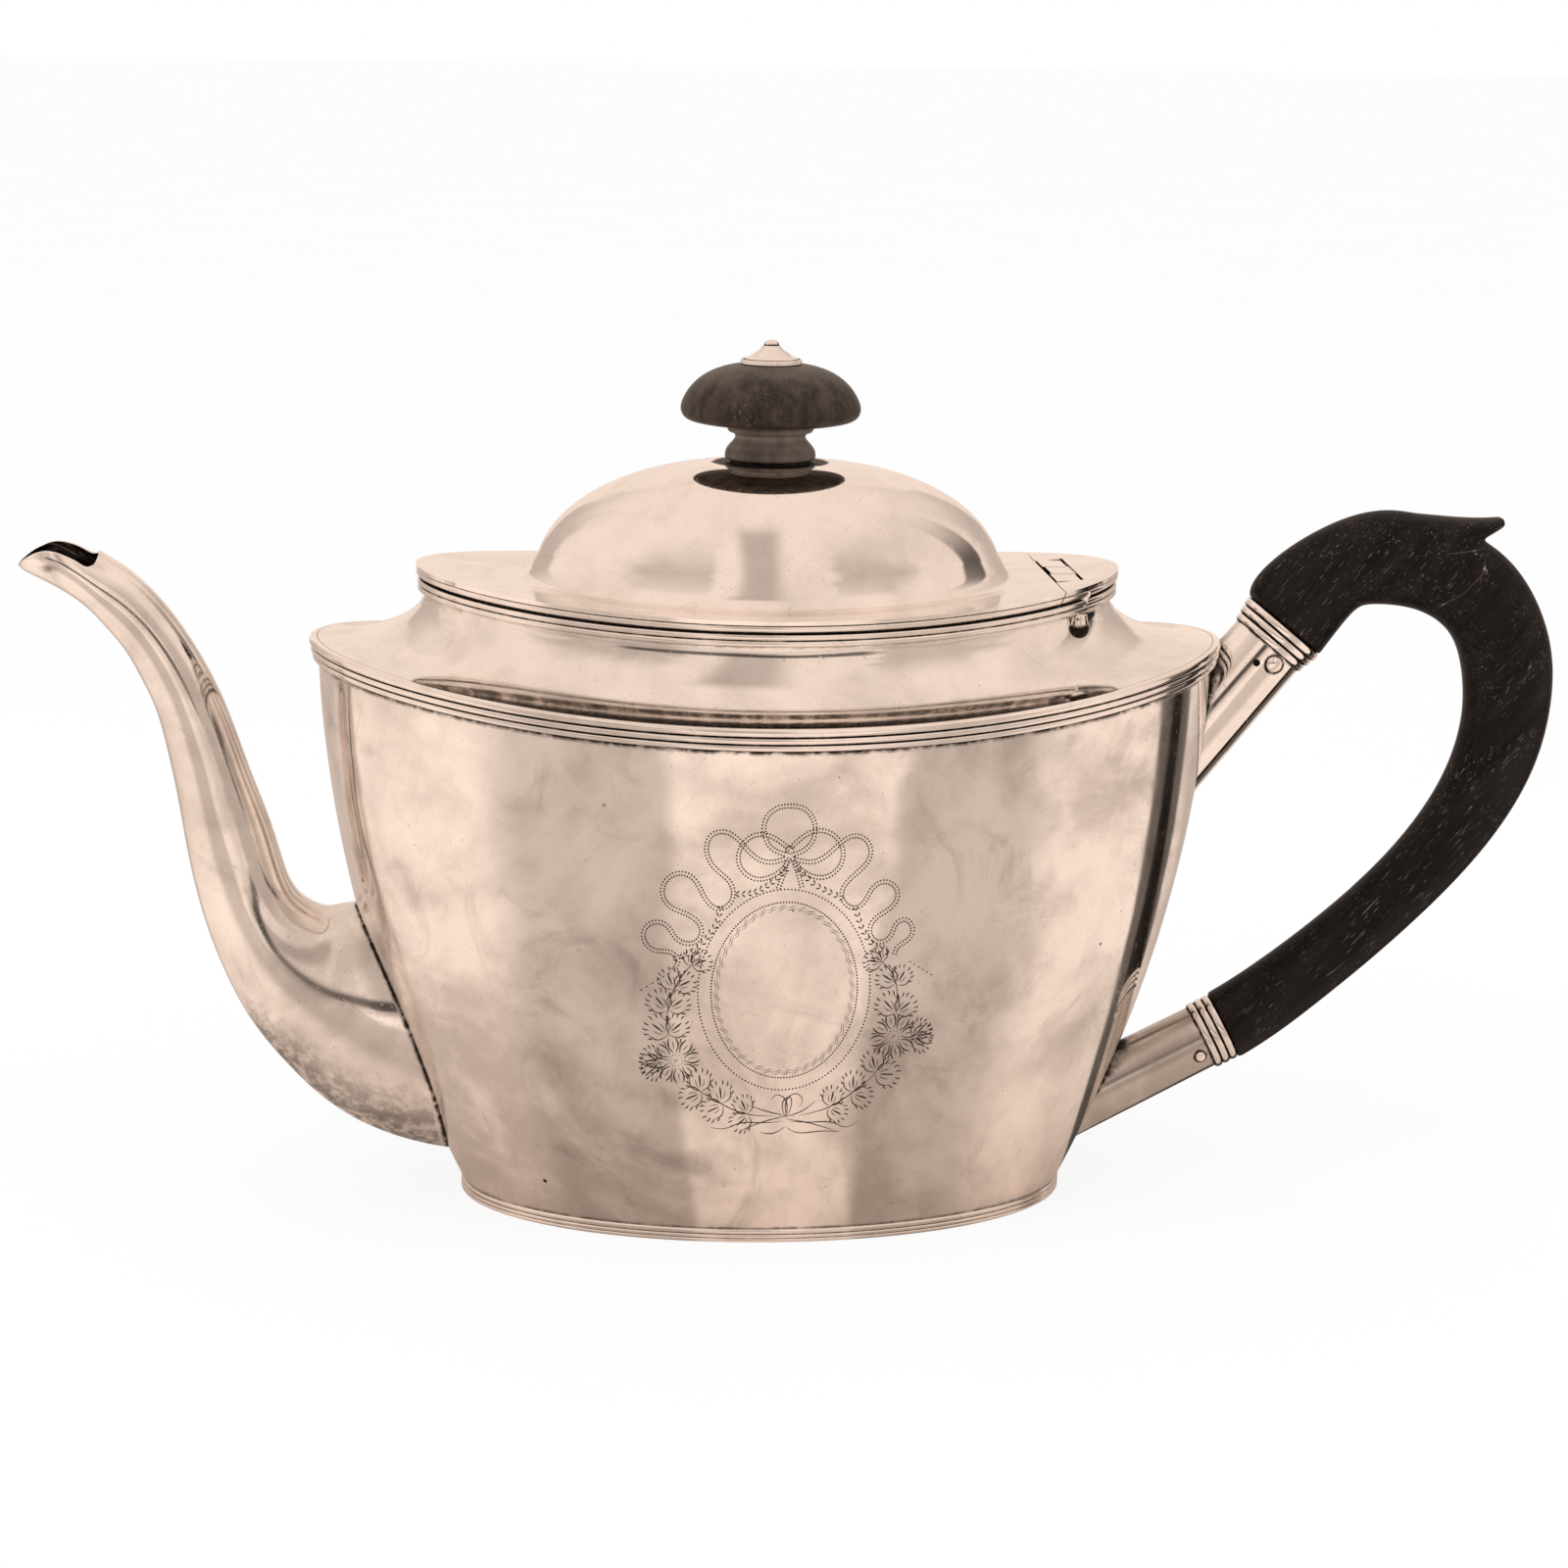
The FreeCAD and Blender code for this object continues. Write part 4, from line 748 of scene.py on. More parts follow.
# Each stem of the wreath: its line, then leaves as a place on the line (0 to 1), a turn from it and a length
WREATH = (
    (((-14.8, 5.4), (-18.5, 0.3), (-19.6, -4.0), (-19.4, -8.2)),
     ((0.10, 2.6, 3.2), (0.12, -2.6, 2.6), (0.42, 2.45, 3.4), (0.44, -2.35, 3.4), (0.68, 2.3, 3.6),
      (0.70, -2.35, 3.8), (0.96, 2.2, 3.6), (0.98, -2.3, 4.0))),
    (((-1.2, -21.5), (-6.5, -21.0), (-10.0, -19.5), (-13.4, -17.6), (-16.3, -15.9)),
     ((0.28, -0.95, 3.2), (0.26, 0.95, 3.4), (0.56, -0.95, 3.6), (0.54, 0.95, 3.6), (0.82, -0.95, 3.6),
      (0.80, 0.95, 3.6))),
    (((15.1, 5.6), (18.3, 2.6), (19.4, -1.9), (19.2, -4.9)),
     ((0.14, -2.6, 3.0), (0.16, 2.6, 2.6), (0.52, -2.4, 3.4), (0.54, 2.4, 3.2), (0.94, -2.3, 3.8),
      (0.96, 2.3, 3.6))),
    (((3.0, -21.5), (8.6, -20.0), (12.2, -17.8), (15.4, -15.3), (17.7, -12.5)),
     ((0.32, 0.95, 3.3), (0.30, -0.95, 3.2), (0.58, 0.95, 3.4), (0.56, -0.95, 3.5), (0.86, 0.95, 3.6),
      (0.84, -0.95, 4.0))))
FLOWERS = (((-18.0, -12.1), 4.0), ((19.0, -8.3), 4.0))
SPRAYS = (((-20.6, -12.6), (2.6, 3.3, 3.9)), ((22.4, -8.6), (-0.5, 0.15, 0.75)))
SPRAY_LENGTH = 3.3
BOW_KNOT, KNOT_SIZE = (0.3, 23.3), (0.75, 0.6)
DASH_COUNT, DASH_START, DASH_END = 6, 0.15, 0.7
DASHES = (((-19.1, 3.0), (-24.6, -0.6)), ((21.1, 4.5), (25.6, 1.7)))
TIED_STEMS = (
    ((0.9, -21.7), (0.3, -20.0), (0.7, -18.5), (1.5, -18.2), (1.8, -19.7), (1.0, -21.7)),
    ((1.1, -21.7), (1.3, -18.2), (2.6, -17.6), (3.7, -18.7), (3.2, -20.0)),
    ((0.9, -21.7), (1.1, -20.0), (0.5, -18.3), (-0.8, -17.8), (-1.7, -18.7)),
    ((1.1, -21.5), (-3.4, -22.7), (-7.2, -24.4)),
    ((0.9, -21.5), (-2.6, -20.6), (-5.4, -19.6)),
    ((1.0, -21.6), (4.2, -20.4), (6.0, -18.9)),
    ((0.3, -22.5), (-3.4, -22.7), (-7.2, -22.9), (-9.5, -23.8), (-12.1, -23.6)),
    ((1.1, -22.1), (5.2, -22.9), (9.6, -24.4)),
    ((1.7, -22.5), (5.6, -22.7), (9.6, -23.1), (11.3, -23.8), (13.5, -22.9)),
    ((-3.4, -24.4), (-1.2, -24.6), (0.9, -23.4)),
    ((0.9, -23.4), (2.6, -24.4), (6.4, -24.4), (10.5, -24.6)))


def cartouche():
    work = Engraving()
    for half_width, half_height, pitch in DOTTED_OVALS:
        work.oval(half_width, half_height, pitch)
    for half_width, half_height in WAVY_OVALS:
        work.wavy_oval(half_width, half_height)
    for line in (LEFT_RIBBON, RIGHT_RIBBON, LEFT_BOW, RIGHT_BOW, TOP_LOOP) + BOW_TAILS:
        work.ribbon(line)
    work.cut(oval_line(*KNOT_SIZE, np.linspace(0, math.tau, 9), *BOW_KNOT), STALK_WIDTH)
    for line in SWAGS:
        work.swag(line)
    for line, leaves in WREATH:
        path = smooth_line(line, STROKE_STEP)
        work.cut(path, STALK_WIDTH)
        for share, turn, length in leaves:
            index = min(len(path) - 2, round(share * (len(path) - 1)))
            ahead = path[index + 1] - path[index]
            work.leaf(path[index], math.atan2(ahead[1], ahead[0]) + turn, length)
    for middle, size in FLOWERS:
        work.flower(middle, size)
    for base, angles in SPRAYS:
        for angle in angles:
            work.leaf(base, angle, SPRAY_LENGTH)
    for start, end in DASHES:
        way = np.subtract(end, start) / DASH_COUNT
        for step in range(DASH_COUNT):
            work.cut([start + way * (step + DASH_START), start + way * (step + DASH_END)])
    for line in TIED_STEMS:
        work.cut(line)
    mesh_piece("cartouche_engraving", work.points, work.faces, "pot", CUT_SILVER, sharp=180)


cartouche()


# Reeded wires, shoulder and lid

def reeds_piece(name, reeds, half_length, half_width, low, high, body, replaced, base=0.0, clean_top=False,
                dirt_and_shade=1.0):
    profile = reed_profile(reeds, base, clean_top)
    rings = swept_reeds(profile, oval(half_length, half_width, low, high), outward(half_length, half_width))
    return band_piece(name, rings, body, WIRE_SILVER, replaced=[replaced],
                      grime=dirt_and_shade * np.repeat([dark for _, _, dark in profile], OVAL_COLUMNS))


FOOT_REEDS = ((0.5, 0.0), (0.35, 0.15), (0.35, 0.15))
FOOT_TOP = 2 * sum(radius for radius, _ in FOOT_REEDS)
reeds_piece("foot_wire", FOOT_REEDS, FOOT_HALF_LENGTH + SEAM, FOOT_HALF_WIDTH + SEAM, FOOT_TOP, FOOT_TOP,
            "pot", "foot_reeding", dirt_and_shade=0.36)

SHOULDER_REEDS = ((0.75, 0.2), (0.62, 0.1), (0.62, -0.2))
SHOULDER_HALF_WIDTH = wall_axes(RIM_HEIGHT)[1]
EDGE_LIFT = SHEET + SEAM
reeds_piece("shoulder_wire", SHOULDER_REEDS, RIM_HALF_LENGTH + 2 * SEAM, SHOULDER_HALF_WIDTH + 2 * SEAM,
            RIM_HEIGHT + EDGE_LIFT, RIM_HEIGHT + RIM_RISE + EDGE_LIFT, "pot", "shoulder_reeding",
            clean_top=True)

RIM_REEDS = ((RIM_REED, 0.25), (RIM_REED, 0.25))
reeds_piece("rim_wire", RIM_REEDS, NECK_HALF_LENGTH + SEAM, NECK_HALF_WIDTH + SEAM,
            NECK_HEIGHT, NECK_HEIGHT + NECK_RISE, "pot", "rim_reeding", dirt_and_shade=0.6)


def hammer(rows, half_length, half_width, wave, depth):
    """Gives rows round an oval the unevenness of hammered sheet."""
    out = outward(half_length, half_width)
    for row in rows:
        row += out * np.array([dent(point, wave, depth) for point in row])[:, None]


CAVETTO_TURNS = np.linspace(0, math.pi / 2, 26)
SHOULDER_DENT_WAVE, SHOULDER_DENT_DEPTH = 17.0, 0.07


def shoulder():
    """Hollow shoulder from the reeded edge up to the mouth, with painted shade under the rim."""
    lines, inner = [], []
    for edge, neck, low, high in (
            (RIM_HALF_LENGTH, NECK_HALF_LENGTH, RIM_HEIGHT + RIM_RISE, NECK_HEIGHT + NECK_RISE),
            (SHOULDER_HALF_WIDTH, NECK_HALF_WIDTH, RIM_HEIGHT, NECK_HEIGHT)):
        start = low + EDGE_LIFT
        climb = high - 4 * RIM_REED - start
        line = [(edge - (edge - neck) * math.sin(turn), start + climb * (1 - math.cos(turn)))
                for turn in CAVETTO_TURNS]
        line.append((neck, high))
        lines.append(line)
        inner.append(inset_line(line, SHEET, (-1, 0), (0, 1)))
    rows = oval_rows(*lines)
    hammer(rows[3:-3], NECK_HALF_LENGTH, NECK_HALF_WIDTH, SHOULDER_DENT_WAVE, SHOULDER_DENT_DEPTH)
    dirt_and_shade = np.zeros((len(rows), OVAL_COLUMNS))
    # Painted shade: the top rows, under the rim wire, are darkened
    dirt_and_shade[-3], dirt_and_shade[-2:] = 0.1, 0.5
    band_piece("shoulder", rows + oval_rows(*inner)[::-1], "pot", LID_SILVER,
               replaced=["shoulder_panel"], grime=np.concatenate([dirt_and_shade, np.full_like(dirt_and_shade, INSIDE_GRIME)]))


shoulder()


def lid_sag(x):
    return boat_climb(np.float64(x), NECK_HALF_LENGTH, NECK_RISE)


FLANGE_STEPS = 10
FILLET_TURNS = np.radians((12, 24, 36, 48, 60, 70))
DOME_TURNS = np.radians(np.linspace(12, 90, 34))
DOME_DENT_WAVE, DOME_DENT_DEPTH = 15.0, 0.08


def lid_rings():
    """Closed profile rings of flange and dome, down the bolt hole and back along the inner face."""
    lines, inner = [], []
    for edge, dome, sagging in ((LID_HALF_LENGTH, DOME_HALF_LENGTH, 1), (LID_HALF_WIDTH, DOME_HALF_WIDTH, 0)):
        start = dome + DOME_FILLET
        foot = FLANGE_TOP + sagging * lid_sag(start)
        line = [(reach, FLANGE_TOP + sagging * lid_sag(reach))
                for reach in np.linspace(edge, start, FLANGE_STEPS)]
        line += [(start - DOME_FILLET * math.sin(turn), foot + DOME_FILLET * (1 - math.cos(turn)))
                 for turn in FILLET_TURNS]
        line += [(SEAT_RADIUS + (dome - SEAT_RADIUS) * math.cos(turn),
                  foot + (SEAT_TOP - foot) * math.sin(turn)) for turn in DOME_TURNS]
        lines.append(line)
        inner.append(inset_line(line, SHEET, (-1, 0), (-1, 0)))
    rows = oval_rows(*lines)
    hammer(rows[14:-6], DOME_HALF_LENGTH, DOME_HALF_WIDTH, DOME_DENT_WAVE, DOME_DENT_DEPTH)
    hole = [oval(BOLT_HOLE, BOLT_HOLE, level, level) for level in (SEAT_TOP, SEAT_TOP - SHEET)]
    inner_rows = oval_rows(*inner)[::-1]
    dirt_and_shade = np.zeros((len(rows), OVAL_COLUMNS))
    # Painted shade: the dome's last rows round the knob's foot are darkened
    dirt_and_shade[-2:] = 1.0
    rest = np.full((len(hole) + len(inner_rows), OVAL_COLUMNS), INSIDE_GRIME)
    return rows + hole + inner_rows, np.concatenate([dirt_and_shade, rest])


# Line of the lid's seam on top of the flange, and of the leaf's edge behind the middle knuckles
HINGE_TOP = FLANGE_TOP + float(lid_sag(HINGE_X))
SEAM_REACH, SEAM_GAP = 2.5, 0.2
LID_EDGE, LEAF_EDGE = HINGE_X - SEAM_REACH, HINGE_X - SEAM_REACH + SEAM_GAP
KNUCKLE_LENGTH = 8.1
HALF_KNUCKLE = KNUCKLE_LENGTH / 2
INNER_KNUCKLE = HALF_KNUCKLE + HINGE_GAP
OUTER_KNUCKLE = INNER_KNUCKLE + KNUCKLE_LENGTH + HINGE_GAP
NOTCH_ABOVE, NOTCH_BELOW, NOTCH_BACK = 3.0, 4.0, 8.0


def notch_leaf(piece):
    """Opens the leaf for the middle knuckles; its outer parts reach on to the lid's seam."""
    back, edge = HINGE_X - NOTCH_BACK, HINGE_X + SEAM_REACH
    above, below = HINGE_TOP + NOTCH_ABOVE, HINGE_TOP - NOTCH_BELOW
    outline = [(back, above), (edge - CUT_SLANT * NOTCH_ABOVE, above),
               (edge + CUT_SLANT * NOTCH_BELOW, below), (back, below)]
    carve_across(piece, outline, outline, OUTER_KNUCKLE)


LID_RINGS, LID_GRIME_AND_SHADE = lid_rings()
LID_REEDS = ((LID_REED, LID_OVERHANG - LID_REED - WIRE_BACK),)
LID_WIRE_TOP = FLANGE_UNDER - SEAM
LID_WIRE = (LID_REEDS, NECK_HALF_LENGTH, NECK_HALF_WIDTH, LID_WIRE_TOP,
            LID_WIRE_TOP + float(lid_sag(LID_HALF_LENGTH)))
LID_LOOK = {"material": LID_SILVER, "grime": LID_GRIME_AND_SHADE}
keep_side(band_piece("lid_dome", LID_RINGS, "lid", replaced=["lid"], **LID_LOOK),
          LID_EDGE, HINGE_TOP, -1)
notch_leaf(keep_side(band_piece("lid_leaf", LID_RINGS, "pot", replaced=["hinge_leaf"], **LID_LOOK),
                     LEAF_EDGE, HINGE_TOP, 1))
keep_side(reeds_piece("lid_wire", *LID_WIRE, "lid", "lid_reeding"), LID_EDGE, HINGE_TOP, -1)
keep_side(reeds_piece("leaf_wire", *LID_WIRE, "pot", "leaf_reeding", base=LID_GAP - 2 * SEAM),
          LEAF_EDGE, HINGE_TOP, 1)


# Spout

SPOUT_REACH, SPOUT_HEIGHT = 66.0, 117.8
SPOUT_ROOT_WIDTH, SPOUT_THROAT_WIDTH = 27.0, 11.0
SPOUT_ROOT = wall_axes(30.0)[0]
SPOUT_COLUMNS, SPOUT_ROWS, SPOUT_STEPS = 128, 240, 1200
SPOUT_SUNK, LEAST_BORE = 0.25, 0.15
SPOUT_DENT_WAVE, SPOUT_DENT_DEPTH, ROOT_FADE, TIP_FADE = 13.0, 0.12, 12, 50
# Each station: how far out and up its lower and upper points lie, as shares of the spout's reach
# and height, and its width as a share of the way from throat to root
SPOUT_STATIONS = (
    (-0.29, 0.066, -0.02, 0.452, 1.0),
    (-0.16, 0.062, 0.12, 0.448, 1.0),
    (0.09, 0.104, 0.19, 0.443, 0.86),
    (0.275, 0.185, 0.25, 0.460, 0.62),
    (0.40, 0.275, 0.282, 0.484, 0.43),
    (0.493, 0.389, 0.302, 0.516, 0.27),
    (0.55, 0.512, 0.335, 0.577, 0.17),
    (0.584, 0.624, 0.386, 0.655, 0.10),
    (0.628, 0.737, 0.453, 0.760, 0.04),
    (0.672, 0.797, 0.552, 0.866, 0.0),
    (0.718, 0.843, 0.680, 0.951, 0.02),
    (0.770, 0.8785, 0.785, 0.990, 0.06),
    (0.825, 0.909, 0.865, 1.016, 0.08),
    (0.890, 0.933, 0.918, 1.018, 0.03),
    (0.945, 0.949, 0.955, 1.003, -0.13),
    (0.974, 0.958, 0.977, 0.985, -0.38),
    (0.9846, 0.963, 0.9846, 0.974, -0.58),
)
# Edge of the open mouth seen from the side, from the hood over the throat forward past the tip
MOUTH_LINE = ((0.770, 1.010), (0.770, 0.992), (0.773, 0.979), (0.783, 0.9695), (0.799, 0.9665),
              (0.822, 0.9735), (0.855, 0.9835), (0.90, 0.9905), (0.951, 0.982), (0.985, 0.9675),
              (1.03, 0.945))
MOUTH_ABOVE = 1.15
# The mouth is rolled a little: at the throat its far lip lies higher than its near lip
NEAR_ROLL, FAR_ROLL, ROLL_START, ROLL_END = -0.9, 2.5, 0.81, 0.93
# Dirt: a smudge at the mouth's corner, the seam's first rows, and the dark bore; and painted shade under the
# belly
SMUDGE, SMUDGE_OUT, SMUDGE_UP, SMUDGE_LENGTH, SMUDGE_DEPTH = 0.55, 0.90, 0.966, 0.035, 0.010
BELLY_SHADE, BELLY_TOP, BELLY_FADE = 0.55, 0.42, 0.15
ROOT_DIRT, BORE_DIRT, CLEAN_LIP = (1.0, 0.7, 0.3), 0.9, 0.7


def spout_places(out, up):
    """Points on the pot's middle plane from shares of the spout's reach and height."""
    return np.stack([-(SPOUT_ROOT + SPOUT_REACH * out), np.zeros_like(out), SPOUT_HEIGHT * up], axis=1)


def spout_spine():
    """Lower and upper points and half widths of many cross-sections along the spout."""
    stations = np.array(SPOUT_STATIONS)
    low, high = spout_places(*stations[:, :2].T), spout_places(*stations[:, 2:4].T)
    half_width = (SPOUT_THROAT_WIDTH + (SPOUT_ROOT_WIDTH - SPOUT_THROAT_WIDTH) * stations[:, 4]) / 2
    knots = chord_knots((low + high) / 2)
    return cubic_line(knots, np.concatenate([low, high, half_width[:, None]], axis=1),
                      np.linspace(0, knots[-1], SPOUT_STEPS))


def spout_rings(spine, inward):
    """Rings of one face of the spout, moved in by a distance."""
    turns = full_turn(SPOUT_COLUMNS)
    low, high, half_width = spine[:, :3], spine[:, 3:6], spine[:, 6]
    depth = np.linalg.norm(high - low, axis=1)
    reach = (high - low) / 2 * np.maximum(LEAST_BORE, 1 - 2 * inward / depth)[:, None]
    tube = ((low + high) / 2)[:, None] + np.cos(turns)[None, :, None] * reach[:, None]
    tube[..., 1] += np.sin(turns) * np.maximum(LEAST_BORE * half_width, half_width - inward)[:, None]
    return leave_wall(tube, SPOUT_ROWS, SPOUT_SUNK)


def spout_shares(points):
    """Shares of the spout's reach and height at points."""
    return (-points[..., 0] - SPOUT_ROOT) / SPOUT_REACH, points[..., 2] / SPOUT_HEIGHT


def spout():
    """Tube with a beaked mouth, smudged outside with painted shade under its belly, and dark inside but for
    its lips.
    """
    spine = spout_spine()
    outer, inner = spout_rings(spine, 0.0), spout_rings(spine, SHEET)
    mouth = smooth_line(MOUTH_LINE, 0.004)

    push = outer - outer.mean(axis=1, keepdims=True)
    push /= np.linalg.norm(push, axis=2)[..., None]
    row = np.arange(SPOUT_ROWS)
    fade = np.clip(np.minimum(row / ROOT_FADE, (SPOUT_ROWS - 1 - row) / TIP_FADE), 0, 1)
    bumps = np.array([[dent(point, SPOUT_DENT_WAVE, SPOUT_DENT_DEPTH) for point in ring] for ring in outer])
    outer = outer + push * (bumps * fade[:, None])[..., None]

    out, up = spout_shares(outer)
    ahead, above = (out - SMUDGE_OUT) / SMUDGE_LENGTH, (up - SMUDGE_UP) / SMUDGE_DEPTH
    dirt_and_shade = SMUDGE * np.exp(-ahead ** 2 - above ** 2)
    # Painted shade: darker where the surface faces down, below the belly's top
    under_side = np.clip(-push[..., 2], 0, 1)
    dirt_and_shade += BELLY_SHADE * under_side * np.clip((BELLY_TOP - up) / BELLY_FADE, 0, 1)
    dirt_and_shade[:len(ROOT_DIRT)] = np.array(ROOT_DIRT)[:, None]
    out, up = spout_shares(inner)
    below_lip = (np.interp(out, mouth[:, 0], mouth[:, 1]) - up) * SPOUT_HEIGHT
    inside = np.where(out < MOUTH_LINE[0][0], BORE_DIRT, np.clip(2 * (below_lip - CLEAN_LIP), 0, BORE_DIRT))
    piece = band_piece("spout_shell", np.concatenate([outer, inner[::-1]]), "pot", SPOUT_SILVER,
                       replaced=["spout"], grime=np.concatenate([dirt_and_shade, inside[::-1]]))

    outline = np.array([(MOUTH_LINE[0][0], MOUTH_ABOVE), *mouth, (mouth[-1, 0], MOUTH_ABOVE)])
    x, _, z = spout_places(*outline.T).T
    rolled = np.interp(outline[:, 0], (ROLL_START, ROLL_END), (1, 0))
    near, far = [np.stack([x, z + roll * rolled], axis=1) for roll in (NEAR_ROLL, FAR_ROLL)]
    carve_across(piece, near, far, SPOUT_THROAT_WIDTH)
    piece.data.set_sharp_from_angle(angle=math.radians(50))


spout()


# Handle sockets, collars and pins

SOCKET_COLUMNS, SOCKET_ROWS, SOCKET_STEPS = 128, 90, 400
SOCKET_TURNS = full_turn(SOCKET_COLUMNS)
SOCKET_WALL, SOCKET_FLARE, SOCKET_SUNK = 1.0, 0.4, 0.2
COLLAR_REED, COLLAR_SINK, COLLAR_BULGE, COLLAR_GRIME_AND_SHADE = 0.75, 0.3, 0.62, 1.5
PIN_SETBACK, PIN_DROP, PIN_PROUD, PIN_DOME, PIN_COLUMNS = 6.4, 1.8, 0.5, 0.45, 32
OLD_HOLE_RADIUS = 0.65
# How far the darkening spreads from the seam below and above, from the collar, and from the pin's edge
SEAM_DARKENING, SEAM_SPREAD, SEAM_SPREAD_ABOVE = 1.15, 0.45, 4.4
COLLAR_SPREAD, PIN_GRIME_OUT, PIN_SPREAD = 0.3, 0.15, 0.32


def turned(profile, columns, reach=None):
    """Rings round Z from (radius, height) points; reach may scale the radius of each column."""
    turns = full_turn(columns)
    rings = []
    for index, (radius, height) in enumerate(profile):
        scale = reach(index, turns) if reach else 1.0
        rings.append(np.stack([radius * scale * np.cos(turns), radius * scale * np.sin(turns),
                               np.full(columns, height)], axis=1))
    return np.array(rings)


def across_pot(rings):
    """Rings round Z laid across the pot."""
    return rings[..., [0, 2, 1]]


def tilted(points, end, angle):
    """Points round a socket's axis, given from its outer end, carried to their place."""
    axis = np.array([math.cos(angle), 0, math.sin(angle)])
    lower_side = np.array([math.sin(angle), 0, -math.cos(angle)])
    across = np.array([0, 1.0, 0])
    points = np.asarray(points, float)
    return np.array(end) + points[..., :1] * lower_side + points[..., 1:2] * across + points[..., 2:] * axis


def socket_tube(end, angle, depth, width, length, inward):
    """Rows of a socket from where it leaves the wall to its outer end, in place and from that end."""
    steps = np.linspace(-length, 0, SOCKET_STEPS)
    grow = SOCKET_FLARE * -steps / length if inward == 0 else np.zeros_like(steps)
    local = np.stack([
        np.outer(depth / 2 - inward + grow, np.cos(SOCKET_TURNS)),
        np.outer(width / 2 - inward + grow, np.sin(SOCKET_TURNS)),
        np.repeat(steps[:, None], SOCKET_COLUMNS, axis=1)], axis=2)
    rows = leave_wall(np.concatenate([tilted(local, end, angle), local], axis=2), SOCKET_ROWS, SOCKET_SUNK)
    return rows[..., :3], rows[..., 3:]


def socket_grime(local, pin_radius):
    """Darkening along the seam with the wall, most of it on top; tarnish and painted shade against the
    collar, and grime round the pin.
    """
    along = local[..., 2]
    upper_side = np.clip(-local[..., 0] / np.abs(local[..., 0]).max(), 0, 1)
    seam = SEAM_DARKENING * np.exp(-(along - along[0]) / (SEAM_SPREAD + SEAM_SPREAD_ABOVE * upper_side))
    collar_edge = -6 * COLLAR_REED
    collar = np.exp(-np.abs(along - collar_edge) / COLLAR_SPREAD)
    from_pin = np.hypot(local[..., 0] - PIN_DROP, along + PIN_SETBACK)
    ring = np.exp(-((from_pin - pin_radius - PIN_GRIME_OUT) / PIN_SPREAD) ** 2)
    return np.clip(np.maximum.reduce([seam, collar, ring]), 0, 1)


def socket(label, end, angle_deg, depth, width, length, collar_step, pin_radius, old_hole=None):
    """Socket with its collar and pin; an old pin hole lies some way up and back from the pin."""
    angle = math.radians(angle_deg)
    outer, local = socket_tube(end, angle, depth, width, length, 0.0)
    inner, _ = socket_tube(end, angle, depth, width, length, SOCKET_WALL)
    dirt_and_shade = socket_grime(local, pin_radius)
    piece = band_piece(f"{label}_handle_socket", np.concatenate([outer, inner[::-1]]), "pot", SOCKET_SILVER,
                       replaced=[f"{label}_socket"], grime=np.concatenate([dirt_and_shade, np.ones_like(dirt_and_shade)]))
    if old_hole:
        up, back = old_hole
        middle = tilted([PIN_DROP - up, -width / 2, -PIN_SETBACK - back], end, angle)
        drill(piece, [middle], "X", OLD_HOLE_RADIUS, 3 * SOCKET_WALL, 24)

    profile = reed_profile([(COLLAR_REED, collar_step * place) for place in (2, 1, 0)], bulge=COLLAR_BULGE)
    spine = oval(depth / 2 - COLLAR_SINK, width / 2 - COLLAR_SINK, 0, 0, SOCKET_TURNS)
    rings = swept_reeds(profile, spine, outward(depth / 2, width / 2, SOCKET_TURNS))
    band_piece(f"{label}_handle_collar", tilted(rings, end, angle), "pot", WIRE_SILVER,
               replaced=[f"{label}_collar"],
               grime=np.repeat([min(1.0, COLLAR_GRIME_AND_SHADE * dark) for _, _, dark in profile], SOCKET_COLUMNS))

    half = width / 2 + PIN_PROUD
    dome = [(pin_radius * math.cos(turn), half - pin_radius * PIN_DOME * (1 - math.sin(turn)))
            for turn in np.linspace(math.radians(80), 0, 7)]
    line = [(radius, -reach) for radius, reach in dome] + dome[::-1]
    pin = across_pot(turned(line, PIN_COLUMNS)) + np.array([PIN_DROP, 0, -PIN_SETBACK])
    bodies_piece(f"{label}_handle_pin", [tilted(pin, end, angle)], "pot", PIN_SILVER,
                 replaced=[f"{label}_pin"], sharp=60)


UPPER_END = (93.0, 0, 103.0)
LOWER_HEIGHT = 28.8
LOWER_END = (wall_axes(LOWER_HEIGHT)[0] + 19.0, 0, LOWER_HEIGHT)
socket("upper", UPPER_END, angle_deg=50.5, depth=14.2, width=11.4, length=46.0, collar_step=0.3,
       pin_radius=1.5, old_hole=(2.7, 1.8))
socket("lower", LOWER_END, angle_deg=27.0, depth=11.8, width=9.8, length=38.0, collar_step=0.0,
       pin_radius=0.9)


# Handle, carved from the solid's shape with its hard corners eased

HANDLE_VOXEL, EASE_FACTOR, EASE_ROUNDS = 0.42, 0.5, 12


def handle():
    piece = new_object("wood_handle", frame["nodes"]["handle"].data.copy())
    remesh = piece.modifiers.new("remesh", "REMESH")
    remesh.mode = "VOXEL"
    remesh.voxel_size = HANDLE_VOXEL * MM
    ease = piece.modifiers.new("ease", "SMOOTH")
    ease.factor = EASE_FACTOR
    ease.iterations = EASE_ROUNDS
    apply_modifiers(piece)
    piece.data.materials.clear()
    piece.data.materials.append(HANDLE_WOOD)
    piece.data.shade_smooth()
    return settle(piece, "pot", ["handle"])


# Pale split and chips in the handle under its horn, as lines of (x, z) points on its near side
SPLIT_LINES = (((120.6, 116.9), (124.7, 117.2), (128.2, 117.6)),
               ((128.0, 116.2), (127.6, 113.8), (126.3, 112.2), (124.5, 110.6)),
               ((125.2, 111.0), (123.2, 109.3), (121.6, 108.3), (119.5, 106.6)))
SPLIT_WIDTH, CHIP_WIDTH, CHIP_LENGTH, CHIP_GROWTH, CHIP_BEND = 0.34, 0.26, 0.5, 0.06, 0.2
CHIPS, CHIP_MIDDLE, CHIP_SPREAD = 16, (127.4, 114.4), (1.5, 2.4)
IN_FRONT = -60


